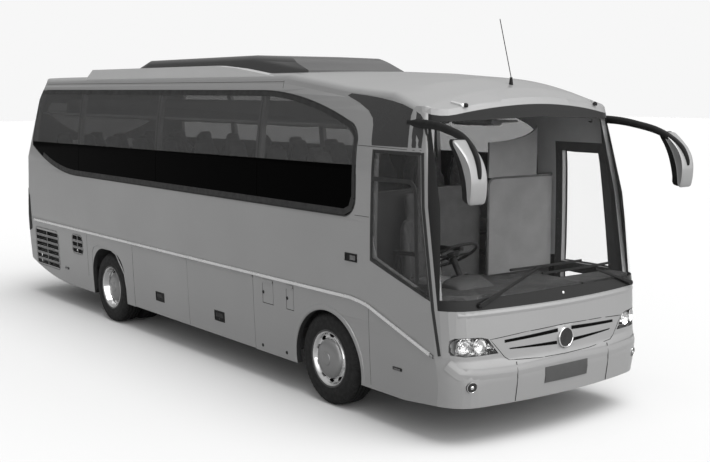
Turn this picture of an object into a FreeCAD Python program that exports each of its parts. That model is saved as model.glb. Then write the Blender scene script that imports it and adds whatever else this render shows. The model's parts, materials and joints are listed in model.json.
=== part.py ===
import FreeCAD, Part
import math
import os

# A midi touring coach at full size, in millimetres.
# X runs forward, Y to the left and Z up. Places along X are measured from the front axle,
# and each finished piece is moved so that the origin lies on the ground under the middle of the length.

V = FreeCAD.Vector

# Overall sizes
wheelbase = 4622.0
half_width = 1200.0
front_reach = 1851.0
rear_reach = 7499.0
mirror_reach = 2084.0
middle_x = (mirror_reach - rear_reach) / 2
overrun = 150.0

# Side section of the body: half widths at their heights
skirt_z = 295.0
skirt_half = 1163.0
belly_z = 1230.0
shoulder_z = 2200.0
shoulder_half = 1188.0
lean_z = 2640.0
lean_half = 1140.0
crease_z = 2986.0
crease_half = 1072.0
section_top_z = 3300.0

# Plan outline of the nose and tail
nose_radius = 5000.0
nose_corner_radius = 300.0
tail_radius = 6000.0
tail_corner_radius = 260.0
corner_angle = math.radians(12.0)
corner_run = 900.0
corner_facets = 5
edge_facets = 3

# Heights of the plan outlines, each with the nose and tail places there
plan_floor_z = 150.0
nose_floor_x = 1800.0
tail_floor_x = -7400.0
bumper_nose_z = 523.0
bumper_tail_x = -7470.0
ledge_low_z = 622.0
ledge_low_nose_x = 1848.0
ledge_low_tail_x = -7478.0
ledge_top_z = 712.0
ledge_top_nose_x = 1822.0
ledge_top_tail_x = -7486.0
star_z = 799.0
star_nose_x = 1818.0
star_tail_x = -7495.0
scuttle_z = 1128.0
scuttle_nose_x = 1795.0
scuttle_tail_x = -7499.0
mid_glass_z = 1950.0
mid_glass_nose_x = 1655.0
mid_glass_tail_x = -7445.0
brow_z = 2754.0
brow_nose_x = 1455.0
brow_tail_x = -7125.0
roof_edge_z = 2990.0
roof_edge_nose_x = 1340.0
roof_edge_tail_x = -6950.0
plan_top_z = 3300.0
plan_top_nose_x = 1210.0
plan_top_tail_x = -6700.0

# Roof sections: height of the edge crease and of the crown along the body
roof_corner_width = 75.0
roof_corner_rise = 55.0
roof_crown_rise = 82.0
roof_fall_x = -761.0
fall_1_x = -381.0
fall_1_crease_z = 2943.0
fall_1_crown_z = 3062.0
fall_2_x = 222.0
fall_2_crease_z = 2868.0
fall_2_crown_z = 3040.0
fall_3_x = 857.0
fall_3_crease_z = 2819.0
fall_3_crown_z = 2998.0
fall_4_x = 1233.0
fall_4_crease_z = 2705.0
fall_4_crown_z = 2905.0
fall_5_x = 1500.0
fall_5_crease_z = 2580.0
fall_5_crown_z = 2790.0
fall_end_x = 2100.0
fall_end_crease_z = 2200.0
fall_end_crown_z = 2430.0
roof_base_z = 100.0

# Walls, glass and gaps
wall = 55.0
roof_wall = 45.0
glass = 8.0
seat_gap = 0.3
panel_gap = 6.0
door_gap = 0.5
pane_gap = 8.0
plate = 8.0

# Skirt line under the body
skirt_rise_x = -5800.0
skirt_mid_x = -6750.0
skirt_mid_z = 390.0
skirt_end_z = 620.0
nose_under_x = 1100.0
nose_under_z = 335.0

# Wheels and arches
tyre_radius = 433.5
tyre_width = 262.0
wheel_outer_y = 1165.0
twin_pitch = 300.0
rim_radius = 262.0
front_arch_radius = 505.0
front_arch_z = 385.0
rear_arch_rear_x = -5110.0
rear_arch_front_x = -4165.0
rear_arch_top_z = 908.0
rear_arch_corner = 350.0
housing_radius = 560.0
housing_z = 400.0
housing_inner_y = 555.0
housing_low_z = 620.0

# Side windows, as places on the side seen from the right
band_top_z = 2879.0
band_low_z = 1784.0
band_sill_front_x = 294.0
band_sweep_x = -5375.0
band_sweep_mid_x = -6148.0
band_sweep_mid_z = 1850.0
band_sweep_end_x = -6985.0
band_sweep_end_z = 2125.0
band_rear_top_x = -6790.0
band_rear_mid_z = 2520.0
band_rear_mid_x = -6930.0
band_nose_mid_x = 408.0
band_nose_mid_z = 1838.0
band_nose_low_x = 452.0
band_nose_low_z = 1948.0
band_nose_top_x = 446.0
band_nose_top_z = 2470.0
band_crook_mid_x = 408.0
band_crook_mid_z = 2556.0
band_crook_x = 312.0
band_crook_z = 2612.0
band_brow_mid_x = -270.0
band_brow_mid_z = 2778.0
band_brow_x = -1129.0
pane_seam_1 = -5427.0
pane_seam_2 = -3286.0
pane_seam_3 = -1143.0
window_pillar = 90.0
window_rim = 55.0
window_corner = 120.0
corner_chords = 4

# Driver's window and the door opposite
cab_window_rear_x = 665.0
cab_window_top_z = 2385.0
cab_pillar = 60.0
cab_window_low_front_z = 1196.0
cab_window_low_mid_x = 1011.0
cab_window_low_mid_z = 1325.0
cab_window_low_rear_z = 1432.0
cab_window_rim = 30.0
door_rear_x = 640.0
door_front_x = 1400.0
door_low_z = 345.0
door_top_z = 2390.0
door_frame = 85.0
door_rail_z = 1130.0
door_rail = 90.0

# Windscreen edge, a straight line on each side
screen_low_x = 1520.0
screen_top_x = 1262.0
screen_top_z = 2720.0
mask_rear_x = 1500.0
seam_side_z = 745.0
seam_lamp_y = 725.0
seam_lamp_z = 732.0
seam_mid_y = 628.0
seam_mid_z = 697.0

# Rear wall, its window and the engine lid
rear_split_x = -7290.0
rear_split_top_x = -6640.0
rear_window_low_z = 1930.0
rear_window_top_z = 2760.0
rear_window_half = 985.0
rear_window_rim = 60.0
lid_low_z = 690.0
lid_top_z = 1560.0
lid_half = 820.0
lid_ear = 70.0
lid_ear_y = 480.0

# Luggage flaps and filler flaps
flap_rear_x = -3937.0
flap_mid_x = -2592.0
flap_front_x = -1239.0
flap_top_z = 1042.0
hinge_rod = 5.0
hinge_proud = 3.0
hinge_leaf = 20.0
hinge_leaf_out = 2.0
hinge_slack = 0.3
filler_rear_x = -1056.0
filler_front_x = -873.0
filler_2_rear_x = -635.0
filler_2_front_x = -520.0
filler_low_z = 805.0
filler_top_z = 1015.0
belt_line = ((-7011.0, 1072.0), (390.0, 1072.0), (548.0, 1054.0), (640.0, 1036.0), (1003.0, 909.0),
             (1480.0, 744.0))
belt_height = 28.0
belt_proud = 10.0
vent_rear_x = -6975.0
vent_front_x = -6215.0
vent_rows = 6
vent_low_z = 470.0
vent_pitch = 84.0
vent_height = 54.0
small_vent_rear_x = -5708.0
small_vent_front_x = -5399.0
small_vent_rows = 3
small_vent_low_z = 765.0

# Floors
deck_z = 1150.0
deck_thick = 40.0
deck_front_x = 575.0
platform_z = 790.0
hold_floor_z = 330.0
hold_floor_thick = 30.0
bulkhead = 25.0
step_count = 3
step_first_z = 420.0
stairwell_y = 330.0

# Underframe
rail_y = 400.0
rail_width = 80.0
rail_low_z = 700.0
rail_height = 160.0
rail_rear_x = -7230.0
rail_front_x = 530.0
nose_rail_y = 260.0
nose_rail_front_x = 1480.0
nose_rail_height = 150.0
cross_width = 80.0
cross_height = 90.0
jack_pad_x = -5260.0
jack_pad_half = 60.0
jack_pad_deep = 20.0
tow_plate_half = 45.0
tow_plate_reach = 90.0
tow_hole_radius = 20.5
rear_cross_places = (-7190.0, -5840.0, -5420.0, -4050.0)
front_cross_places = (-1100.0, -600.0, 490.0)
nose_cross_places = (490.0, 940.0, 1420.0)

# Axles
pin_y = 950.0
pin_radius = 24.0
pin_slack = 0.05
eye_radius = 52.0
eye_height = 110.0
fork_height = 50.0
beam_width = 90.0
beam_height = 100.0
beam_flange = 18.0
beam_web = 24.0
spindle_radius = 38.0
spindle_end_y = 1120.0
drum_radius = 200.0
rear_tube_radius = 72.0
bellows_foot = 60.0
cover_valley_radius = 208.0
cover_dome_radius = 182.0
cover_step_radius = 112.0
cover_valley_depth = 46.0
cover_dome_depth = 14.0
cover_centre_radius = 60.0
rear_dish_depth = 84.0
spindle_end_rear_y = 985.0
rim_wall = 14.0
wheel_sides = 32
axle_sides = 24
rim_seat = 6.0
tyre_lip = 12.0
tyre_bulge = 6.0
tyre_shoulder = 42.0
diff_radius = 205.0
bellows_radius = 112.0

# Power unit and tanks
engine_rear_x = -7130.0
engine_front_x = -5880.0
engine_half = 360.0
engine_low_z = 430.0
engine_top_z = 1060.0
tank_rear_x = -1180.0
tank_front_x = -640.0
tank_outer_y = 1060.0
tank_low_z = 380.0

# Roof furniture
fairing_y = 1000.0
fairing_width = 120.0
fairing_rear_x = -5460.0
fairing_rear_top_x = -5211.0
fairing_top_z = 3135.0
fairing_slope_x = -2126.0
fairing_fall_x = -1682.0
fairing_fall_z = 3100.0
fairing_end_x = -869.0
fairing_low_z = 3000.0
unit_half = 617.0
unit_rear_x = -4876.0
unit_rear_z = 3153.0
unit_shoulder_x = -4543.0
unit_shoulder_z = 3244.0
unit_top_z = 3252.0
unit_front_top_x = -2100.0
unit_brow_x = -1440.0
unit_brow_z = 3220.0
unit_front_x = -1072.0
unit_front_z = 3080.0
unit_low_z = 3020.0
unit_corner = 60.0
aerial_x = 1127.0
aerial_lean_x = 978.0
aerial_top_z = 3501.0
aerial_radius = 4.0
aerial_foot = 22.0
aerial_base_z = 2905.0
aerial_foot_height = 90.0

# Lamps, grille and mirrors
lamp_outline = ((-735.0, 763.0), (-833.0, 892.0), (-895.0, 909.0), (-1014.0, 916.0), (-1102.0, 912.0),
                (-1215.0, 846.0), (-1215.0, 792.0), (-1105.0, 771.0), (-1042.0, 760.0))
lamp_rear_x = 1606.0
fog_y = 1000.0
fog_z = 515.0
fog_radius = 45.0
fog_sides = 16
grille_half_outline = ((0.0, 672.0), (-308.0, 676.0), (-628.0, 697.0), (-676.0, 727.0), (-739.0, 800.0),
                       (-812.0, 883.0), (-458.0, 908.0), (0.0, 921.0))
upper_slot = ((-668.0, 848.0), (-668.0, 858.0), (-86.0, 890.0), (-86.0, 868.0))
lower_slot = ((-624.0, 785.0), (-624.0, 795.0), (-104.0, 790.0), (-104.0, 770.0))
disc_z = 808.0
disc_radius = 92.0
disc_proud = 14.0
disc_edge = 8.0
disc_sides = 32
tail_lamp_y = 1010.0
tail_lamp_low_z = 1040.0
tail_lamp_top_z = 1480.0
arm_path = ((930.0, 1146.0, 2636.0), (1199.0, 1118.0, 2616.0), (1420.0, 1128.0, 2603.0),
            (1600.0, 1150.0, 2573.0), (1780.0, 1183.0, 2528.0), (1920.0, 1217.0, 2458.0),
            (2015.0, 1245.0, 2372.0), (2060.0, 1262.0, 2270.0), (2063.0, 1267.0, 2215.0))
arm_halves = (38.0, 38.0, 36.0, 34.0, 32.0, 30.0, 27.0, 24.0, 21.0)
mirror_face = ((2030.0, 2040.0), (2058.0, 2040.0), (2076.0, 2110.0), (2076.0, 2215.0), (2054.0, 2305.0),
               (2005.0, 2385.0), (1935.0, 2455.0), (1862.0, 2512.0), (1846.0, 2500.0), (1905.0, 2420.0),
               (1957.0, 2335.0), (2000.0, 2225.0), (2018.0, 2135.0))
mirror_bezel = ((1994.0, 2046.0), (2040.0, 2046.0), (2040.0, 2140.0), (1990.0, 2330.0), (1850.0, 2508.0),
                (1820.0, 2500.0), (1890.0, 2400.0), (1940.0, 2300.0), (1975.0, 2190.0), (1988.0, 2110.0))
mirror_inner_y = 1183.0
mirror_outer_y = 1352.0
mirror_edge = 18.0
mirror_end_share = 0.93
bezel_inset = 9.0
wiper_radius = 9.0
wiper_stand = 22.0
wiper_pivot_z = 1112.0
wiper_tip_z = 1290.0
wiper_end_z = 1330.0
wiper_ys = ((-1010.0, -560.0, -760.0, -150.0), (950.0, 620.0, 150.0, 860.0))

# Inside the cabin
seat_rows = 9
seat_first_x = -180.0
seat_pitch = 765.0
seat_inner_y = 215.0
seat_outer_y = 1100.0
seat_z = 1575.0
seat_deep = 430.0
seat_thick = 130.0
back_thick = 110.0
back_lean = 120.0
seat_leg = 60.0
seat_gap_half = 25.0
head_top_z = 2330.0
head_low_z = 2120.0
head_inset = 105.0
rack_low_z = 2560.0
rack_height = 190.0
rack_reach = 420.0
rack_rear_x = -6800.0
rack_front_x = 150.0
screen_wall_x = 480.0
screen_wall_thick = 25.0
screen_wall_top_z = 1990.0
dash_rear_x = 1180.0
dash_z = 1240.0
dash_low_z = 830.0
driver_y = -640.0
driver_seat_x = 900.0
driver_seat_half = 240.0
driver_seat_z = 1260.0
driver_back_top_z = 2010.0
driver_head_low_z = 1740.0
driver_head_half = 140.0
wheel_centre_x = 1090.0
wheel_centre_z = 1480.0
wheel_ring_radius = 225.0
wheel_tube = 15.0
wheel_tilt = math.radians(32.0)
column_radius = 28.0
column_length = 420.0
driver_screen_half = 470.0
dash_slope = 60.0
dash_foot_x = 1480.0


def box(x0, x1, y0, y1, z0, z1):
    return Part.makeBox(x1 - x0, y1 - y0, z1 - z0, V(x0, y0, z0))


def prism_y(points, y0, y1):
    wire = Part.makePolygon([V(x, y0, z) for x, z in points + points[:1]])
    return Part.Face(wire).extrude(V(0, y1 - y0, 0))


def prism_x(points, x0, x1):
    wire = Part.makePolygon([V(x0, y, z) for y, z in points + points[:1]])
    return Part.Face(wire).extrude(V(x1 - x0, 0, 0))


def tube_y(x, z, radius, y0, y1):
    return Part.makeCylinder(radius, y1 - y0, V(x, y0, z), V(0, 1, 0))


def tube_x(y, z, radius, x0, x1):
    return Part.makeCylinder(radius, x1 - x0, V(x0, y, z), V(1, 0, 0))


def tube_z(x, y, radius, z0, z1):
    return Part.makeCylinder(radius, z1 - z0, V(x, y, z0), V(0, 0, 1))


def flipped(shape):
    return shape.mirror(V(0, 0, 0), V(0, 1, 0))


def both_sides(shape):
    return Part.makeCompound([shape, flipped(shape)])


def arc(a, b, c):
    return Part.Arc(a, b, c).toShape()


def line(a, b):
    return Part.LineSegment(a, b).toShape()


def arc_centre(a, b, c):
    (y1, z1), (y2, z2), (y3, z3) = a, b, c
    d = 2 * (y1 * (z2 - z3) + y2 * (z3 - z1) + y3 * (z1 - z2))
    s1, s2, s3 = y1 * y1 + z1 * z1, y2 * y2 + z2 * z2, y3 * y3 + z3 * z3
    cy = (s1 * (z2 - z3) + s2 * (z3 - z1) + s3 * (z1 - z2)) / d
    cz = (s1 * (y3 - y2) + s2 * (y1 - y3) + s3 * (y2 - y1)) / d
    return cy, cz, math.hypot(y1 - cy, z1 - cz)


def side_half(z):
    """Half width of the outer side at a height."""
    if z <= shoulder_z:
        corners = (skirt_half, skirt_z), (half_width, belly_z), (shoulder_half, shoulder_z)
    else:
        corners = (shoulder_half, shoulder_z), (lean_half, lean_z), (crease_half, crease_z)
    cy, cz, radius = arc_centre(*corners)
    return cy + math.sqrt(radius * radius - (z - cz) ** 2)


def side_form(inset):
    """The body's cross-section, drawn out along X, with open room above."""
    x0 = -rear_reach - overrun
    low = skirt_z - overrun
    points = [V(x0, side_half(z) - inset, z) for z in
              (low, belly_z, shoulder_z, lean_z, crease_z)]
    top = V(x0, crease_half - inset, section_top_z)
    half = [arc(points[0], points[1], points[2]), arc(points[2], points[3], points[4]),
            line(points[4], top)]
    other = [edge.mirror(V(0, 0, 0), V(0, 1, 0)) for edge in half]
    cap = line(top, V(x0, inset - crease_half, section_top_z))
    base = line(points[0], V(x0, -points[0].y, low))
    wire = Part.Wire(Part.__sortEdges__(half + [cap] + other + [base]))
    return Part.Face(wire).extrude(V(front_reach + rear_reach + 2 * overrun, 0, 0))


def end_corner(nose_x, radius, corner, half):
    """Centre of a corner arc that is tangent to the end arc and meets the side at corner_angle."""
    cy = half - corner * math.cos(corner_angle)
    cx = nose_x - radius + math.sqrt((radius - corner) ** 2 - cy * cy)
    return cx, cy


def end_edges(nose_x, radius, corner, half, z, facing):
    """End arc, its corner arcs and their tangents, from the right side round to the left."""
    cx, cy = end_corner(nose_x, radius, corner, half)
    big_x = nose_x - radius
    angle = math.atan2(cy, cx - big_x)
    end_angle = math.pi / 2 - corner_angle

    def at(x, y):
        return V(facing * x, y, z)

    touch = big_x + radius * math.cos(angle), radius * math.sin(angle)
    turns = [end_angle + (angle - end_angle) * step / corner_facets for step in range(corner_facets + 1)]
    bend = [(cx + corner * math.cos(turn), cy + corner * math.sin(turn)) for turn in turns]
    end = cx + corner * math.sin(corner_angle), half
    run = end[0] - corner_run * math.cos(corner_angle), half + corner_run * math.sin(corner_angle)
    return [line(at(run[0], -run[1]), at(end[0], -end[1])),
            *[line(at(a[0], -a[1]), at(b[0], -b[1])) for a, b in zip(bend, bend[1:])],
            arc(at(touch[0], -touch[1]), at(nose_x, 0), at(touch[0], touch[1])),
            *[line(at(b[0], b[1]), at(a[0], a[1])) for a, b in reversed(list(zip(bend, bend[1:])))],
            line(at(end[0], end[1]), at(run[0], run[1]))]


def plan_wire(z, nose_x, tail_x, inset):
    half = side_half(min(z, crease_z)) - inset
    front = end_edges(nose_x - inset, nose_radius - inset, nose_corner_radius - inset, half, z, 1)
    rear = end_edges(-tail_x - inset, tail_radius - inset, tail_corner_radius - inset, half, z, -1)
    right = line(rear[0].Vertexes[0].Point, front[0].Vertexes[0].Point)
    left = line(front[-1].Vertexes[-1].Point, rear[-1].Vertexes[-1].Point)
    back = [edge.reversed() for edge in reversed(rear)]
    return Part.Wire(Part.__sortEdges__([right] + front + [left] + back))


def plan_form(inset):
    """The body's plan outline, lofted up through its heights."""
    levels = ((plan_floor_z, nose_floor_x, tail_floor_x), (bumper_nose_z, front_reach, bumper_tail_x),
              (ledge_low_z, ledge_low_nose_x, ledge_low_tail_x),
              (ledge_top_z, ledge_top_nose_x, ledge_top_tail_x), (star_z, star_nose_x, star_tail_x),
              (scuttle_z, scuttle_nose_x, scuttle_tail_x), (mid_glass_z, mid_glass_nose_x, mid_glass_tail_x),
              (brow_z, brow_nose_x, brow_tail_x), (roof_edge_z, roof_edge_nose_x, roof_edge_tail_x),
              (plan_top_z, plan_top_nose_x, plan_top_tail_x))
    return Part.makeLoft([plan_wire(z, nose, tail, inset) for z, nose, tail in levels], True, True)


def roof_wire(x, edge_z, crown_z, lower):
    half = side_half(edge_z)
    wide = half_width + overrun
    inner = half - roof_corner_width
    shoulder = edge_z + roof_corner_rise
    points = [V(x, wide, roof_base_z - lower), V(x, wide, edge_z - lower), V(x, half, edge_z - lower),
              V(x, inner, shoulder - lower)]
    turns = [math.pi / 2 * step / edge_facets for step in range(edge_facets + 1)]
    rim = [V(x, inner + roof_corner_width * math.cos(turn),
             edge_z + roof_corner_rise * math.sin(turn) - lower) for turn in turns]
    half_edges = [line(points[0], points[1]), line(points[1], points[2]),
                  *[line(a, b) for a, b in zip(rim, rim[1:])]]
    other = [edge.mirror(V(0, 0, 0), V(0, 1, 0)) for edge in half_edges]
    crown = arc(points[3], V(x, 0, crown_z - lower), V(x, -inner, shoulder - lower))
    base = line(points[0], V(x, -wide, roof_base_z - lower))
    return Part.Wire(Part.__sortEdges__(half_edges + [crown] + other + [base]))


def roof_form(lower):
    """Everything under the roof skin: level to roof_fall_x, then falling to the nose."""
    crown = crease_z + roof_crown_rise
    rear = roof_wire(-rear_reach - overrun, crease_z, crown, lower)
    level = Part.Face(rear).extrude(V(roof_fall_x + rear_reach + overrun, 0, 0))
    stations = ((roof_fall_x, crease_z, crown), (fall_1_x, fall_1_crease_z, fall_1_crown_z),
                (fall_2_x, fall_2_crease_z, fall_2_crown_z), (fall_3_x, fall_3_crease_z, fall_3_crown_z),
                (fall_4_x, fall_4_crease_z, fall_4_crown_z), (fall_5_x, fall_5_crease_z, fall_5_crown_z),
                (fall_end_x, fall_end_crease_z, fall_end_crown_z))
    nose = Part.makeLoft([roof_wire(x, edge, top, lower) for x, edge, top in stations], True, True)
    return level, nose


def skirt_form():
    """Side outline of the body's underside, drawn across the width."""
    y0 = -half_width - overrun
    rise = arc(V(skirt_rise_x, y0, skirt_z), V(skirt_mid_x, y0, skirt_mid_z),
               V(-rear_reach, y0, skirt_end_z))
    corners = [V(-rear_reach, y0, skirt_end_z), V(-rear_reach - overrun, y0, skirt_end_z),
               V(-rear_reach - overrun, y0, section_top_z), V(front_reach + overrun, y0, section_top_z),
               V(front_reach + overrun, y0, nose_under_z), V(mask_rear_x, y0, nose_under_z),
               V(nose_under_x, y0, skirt_z), V(skirt_rise_x, y0, skirt_z)]
    edges = [rise] + [line(a, b) for a, b in zip(corners, corners[1:])]
    wire = Part.Wire(Part.__sortEdges__(edges))
    return Part.Face(wire).extrude(V(0, 2 * (half_width + overrun), 0))


def screen_edge_x(z):
    """Place of the windscreen's side edge at a height."""
    lean = (screen_top_x - screen_low_x) / (screen_top_z - scuttle_z)
    return screen_low_x + lean * (z - scuttle_z)


def screen_zone(shift):
    """Room ahead of the windscreen pillars and above the scuttle."""
    top_x = screen_edge_x(section_top_z)
    ahead = front_reach + overrun
    points = [(screen_low_x + shift, scuttle_z + shift), (top_x + shift, section_top_z),
              (ahead, section_top_z), (ahead, scuttle_z + shift)]
    return prism_y(points, -half_width - overrun, half_width + overrun)


def mask_zone(low_z, top_z):
    return box(mask_rear_x, front_reach + overrun, -half_width - overrun, half_width + overrun,
               low_z, top_z)


def tail_zone(shift):
    """Room behind the line where the side walls meet the rear wall."""
    behind = -rear_reach - overrun
    points = [(rear_split_x - shift, skirt_z - overrun), (rear_split_x - shift, shoulder_z),
              (rear_split_top_x - shift, section_top_z), (behind, section_top_z),
              (behind, skirt_z - overrun)]
    return prism_y(points, -half_width - overrun, half_width + overrun)


def band_outline(inset):
    """Outline of the side window band, with its swept ends, seen from the right side."""
    y0 = -half_width - overrun
    top = band_top_z - inset
    low = band_low_z + inset
    rear_mid = V(band_rear_mid_x + inset, y0, band_rear_mid_z)
    sweep_end = V(band_sweep_end_x + inset, y0, band_sweep_end_z)
    sweep_mid = V(band_sweep_mid_x, y0, band_sweep_mid_z + inset)
    sweep = V(band_sweep_x, y0, low)
    sill = V(band_sill_front_x - inset, y0, low)
    nose_mid = V(band_nose_mid_x - inset, y0, band_nose_mid_z + inset)
    nose_low = V(band_nose_low_x - inset, y0, band_nose_low_z)
    nose_top = V(band_nose_top_x - inset, y0, band_nose_top_z)
    crook_mid = V(band_crook_mid_x - inset, y0, band_crook_mid_z - inset)
    crook = V(band_crook_x - inset, y0, band_crook_z - inset)
    brow_mid = V(band_brow_mid_x, y0, band_brow_mid_z - inset)
    brow = V(band_brow_x, y0, top)
    rear_top = V(band_rear_top_x + inset, y0, top)
    return [arc(rear_top, rear_mid, sweep_end), arc(sweep_end, sweep_mid, sweep), line(sweep, sill),
            arc(sill, nose_mid, nose_low), line(nose_low, nose_top), arc(nose_top, crook_mid, crook),
            arc(crook, brow_mid, brow), line(brow, rear_top)]


def band_prism(inset):
    wire = Part.Wire(Part.__sortEdges__(band_outline(inset)))
    return Part.Face(wire).extrude(V(0, half_width + overrun, 0))


def pane_slot(x, width):
    return box(x - width / 2, x + width / 2, -half_width - overrun, 0, roof_base_z, section_top_z)


def cab_window_prism(inset, y0, y1):
    points = [(cab_window_rear_x + inset, cab_window_low_rear_z + inset),
              (cab_window_low_mid_x, cab_window_low_mid_z + inset),
              (screen_edge_x(cab_window_low_front_z) - cab_pillar - inset, cab_window_low_front_z + inset),
              (screen_edge_x(cab_window_top_z) - cab_pillar - inset, cab_window_top_z - inset),
              (cab_window_rear_x + inset, cab_window_top_z - inset)]
    return prism_y(points, y0, y1)


def door_top_front_x():
    return screen_edge_x(door_top_z) - cab_pillar


def door_prism(grow):
    points = [(door_rear_x - grow, door_low_z - grow), (door_front_x + grow, door_low_z - grow),
              (door_front_x + grow, scuttle_z), (door_top_front_x() + grow, door_top_z + grow),
              (door_rear_x - grow, door_top_z + grow)]
    return prism_y(points, 0, half_width + overrun)


def front_arch_prism():
    return tube_y(0, front_arch_z, front_arch_radius, -half_width - overrun, half_width + overrun)


def rear_arch_prism():
    """Rear arch outline: upright behind the wheel, round over the front."""
    y0 = -half_width - overrun
    low = skirt_z - overrun
    corner = rear_arch_corner
    share = 1 - math.sqrt(0.5)
    rear_up = V(rear_arch_rear_x, y0, rear_arch_top_z - corner)
    rear_top = V(rear_arch_rear_x + corner, y0, rear_arch_top_z)
    rear_mid = V(rear_arch_rear_x + corner * share, y0, rear_arch_top_z - corner * share)
    front_top = V(rear_arch_front_x - corner, y0, rear_arch_top_z)
    front_mid = V(rear_arch_front_x - corner * share, y0, rear_arch_top_z - corner * share)
    front_up = V(rear_arch_front_x, y0, rear_arch_top_z - corner)
    rear_low = V(rear_arch_rear_x, y0, low)
    front_low = V(rear_arch_front_x, y0, low)
    edges = [line(rear_low, rear_up), arc(rear_up, rear_mid, rear_top), line(rear_top, front_top),
             arc(front_top, front_mid, front_up), line(front_up, front_low), line(front_low, rear_low)]
    return Part.Face(Part.Wire(edges)).extrude(V(0, 2 * (half_width + overrun), 0))


def half_box(side):
    """Room on one side of the middle plane: side is -1 on the right and 1 on the left."""
    y0, y1 = sorted((0, side * (half_width + overrun)))
    return box(-rear_reach - overrun, front_reach + overrun, y0, y1, skirt_z - overrun, section_top_z)


def flap_prism(x0, x1, z0, z1, grow):
    y0 = -half_width - overrun
    return box(x0 - grow, x1 + grow, y0, -half_width / 2, z0 - grow, z1 + grow)


def hinge_axis(z1):
    """Place in Y and Z of a top hinge's rod, just proud of the right side above a flap."""
    z = z1 + panel_gap
    return -side_half(z) - hinge_proud, z


def hinge_leaf_bar(x0, x1, z1):
    """Bar along a flap's top edge, hollowed to run round the rod."""
    y, z = hinge_axis(z1)
    bar = box(x0, x1, y - hinge_leaf_out, y + hinge_leaf, z - hinge_leaf, z - panel_gap / 2)
    return bar.cut(tube_x(y, z, hinge_rod + hinge_slack, x0 - hinge_rod, x1 + hinge_rod))


def rod_hanger(x0, x1, z1):
    """Rod above a flap with the lip of the moulding that carries it."""
    y, z = hinge_axis(z1)
    rod = tube_x(y, z, hinge_rod, x0, x1)
    lip = box(x0, x1, y - hinge_rod / 2, y + hinge_leaf, z + hinge_rod / 2, z + hinge_leaf)
    return rod.fuse(lip)


def flap_list():
    """Name, side and edges of each top-hung flap in the skirt."""
    hold = [("luggage_flap_rear_", flap_rear_x, flap_mid_x - panel_gap, skirt_z + panel_gap, flap_top_z),
            ("luggage_flap_front_", flap_mid_x, flap_front_x, skirt_z + panel_gap, flap_top_z)]
    flaps = [(name + word, side, x0, x1, z0, z1) for side, word in ((-1, "right"), (1, "left"))
             for name, x0, x1, z0, z1 in hold]
    flaps.append(("fuel_flap", -1, filler_rear_x, filler_front_x, filler_low_z, filler_top_z))
    flaps.append(("filler_flap", -1, filler_2_rear_x, filler_2_front_x, filler_low_z, filler_top_z))
    return flaps


def rear_surface_x(form, z):
    """Rearmost place of the body on its middle plane at a height."""
    probe = line(V(-rear_reach - overrun, 0, z), V(-wheelbase, 0, z))
    return min(vertex.X for vertex in probe.common(form).Vertexes)


def make_body():
    """All panels and panes cut from the one body form."""
    level, nose = roof_form(0)
    low_level, low_nose = roof_form(roof_wall)
    hull = side_form(0).common(plan_form(0)).common(skirt_form())
    cell = side_form(wall).common(plan_form(wall))
    seat = side_form(glass).common(plan_form(glass))
    rebate = side_form(glass + seat_gap).common(plan_form(glass + seat_gap))
    lower = hull.common(low_level).fuse(hull.common(low_nose)).removeSplitter()
    full = hull.common(level).fuse(hull.common(nose)).removeSplitter()
    roof = full.cut(low_level).cut(low_nose)
    skin = lower.cut(seat)
    shell = lower.cut(cell)
    return roof, skin, shell, rebate, lower, cell


def window_rooms():
    """Rooms of the glass rebates and of the openings behind them, on the right side."""
    band = band_prism(0)
    hole = band_prism(window_rim)
    for x in (pane_seam_1, pane_seam_2, pane_seam_3):
        hole = hole.cut(pane_slot(x, window_pillar))
    return band, hole


def belt_moulding(outer_skin, lower):
    """Raised moulding along the right side, falling towards the nose."""
    half = belt_height / 2
    top = [(x, z + half) for x, z in belt_line]
    low = [(x, z - half) for x, z in belt_line]
    strip = prism_y(top + low[::-1], -half_width - overrun, -half_width / 2)
    return outer_skin.common(strip).cut(lower)


def vent_slots(x0, x1, low_z, rows):
    """Rows of air slots cut through the right wall, in two columns."""
    y0 = -half_width - overrun
    middle = (x0 + x1) / 2
    slots = []
    for row in range(rows):
        z0 = low_z + row * vent_pitch
        for a, b in ((x0, middle - panel_gap), (middle + panel_gap, x1)):
            slots.append(box(a, b, y0, -half_width / 2, z0, z0 + vent_height))
    return slots


def make_side_wall(side, shell, rebate, band, hole, belt):
    """One side wall: rebated for its glass, with its windows, arches, flaps and door cut."""
    outer = shell.common(half_box(side)).cut(screen_zone(-seat_gap)).cut(tail_zone(-seat_gap))
    outer = outer.cut(mask_zone(skirt_z - overrun, scuttle_z + seat_gap))
    if side > 0:
        outer = flipped(outer)
        rebate = flipped(rebate)
    wall_piece = outer.cut(band.cut(rebate)).cut(hole)
    wall_piece = wall_piece.fuse(belt).cut(front_arch_prism()).cut(rear_arch_prism())
    flaps = [places for name, flap_side, *places in flap_list() if flap_side == side]
    for places in flaps:
        wall_piece = wall_piece.cut(flap_prism(*places, panel_gap))
    for x0, x1, z0, z1 in flaps:
        wall_piece = wall_piece.fuse(rod_hanger(x0, x1, z1))
    if side < 0:
        y0 = -half_width - overrun
        frame = cab_window_prism(0, y0, 0).cut(rebate)
        wall_piece = wall_piece.cut(frame).cut(cab_window_prism(cab_window_rim, y0, 0))
        slots = vent_slots(vent_rear_x, vent_front_x, vent_low_z, vent_rows)
        slots += vent_slots(small_vent_rear_x, small_vent_front_x, small_vent_low_z, small_vent_rows)
        wall_piece = wall_piece.cut(Part.makeCompound(slots))
    else:
        wall_piece = flipped(wall_piece).cut(door_prism(door_gap))
    return wall_piece


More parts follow.
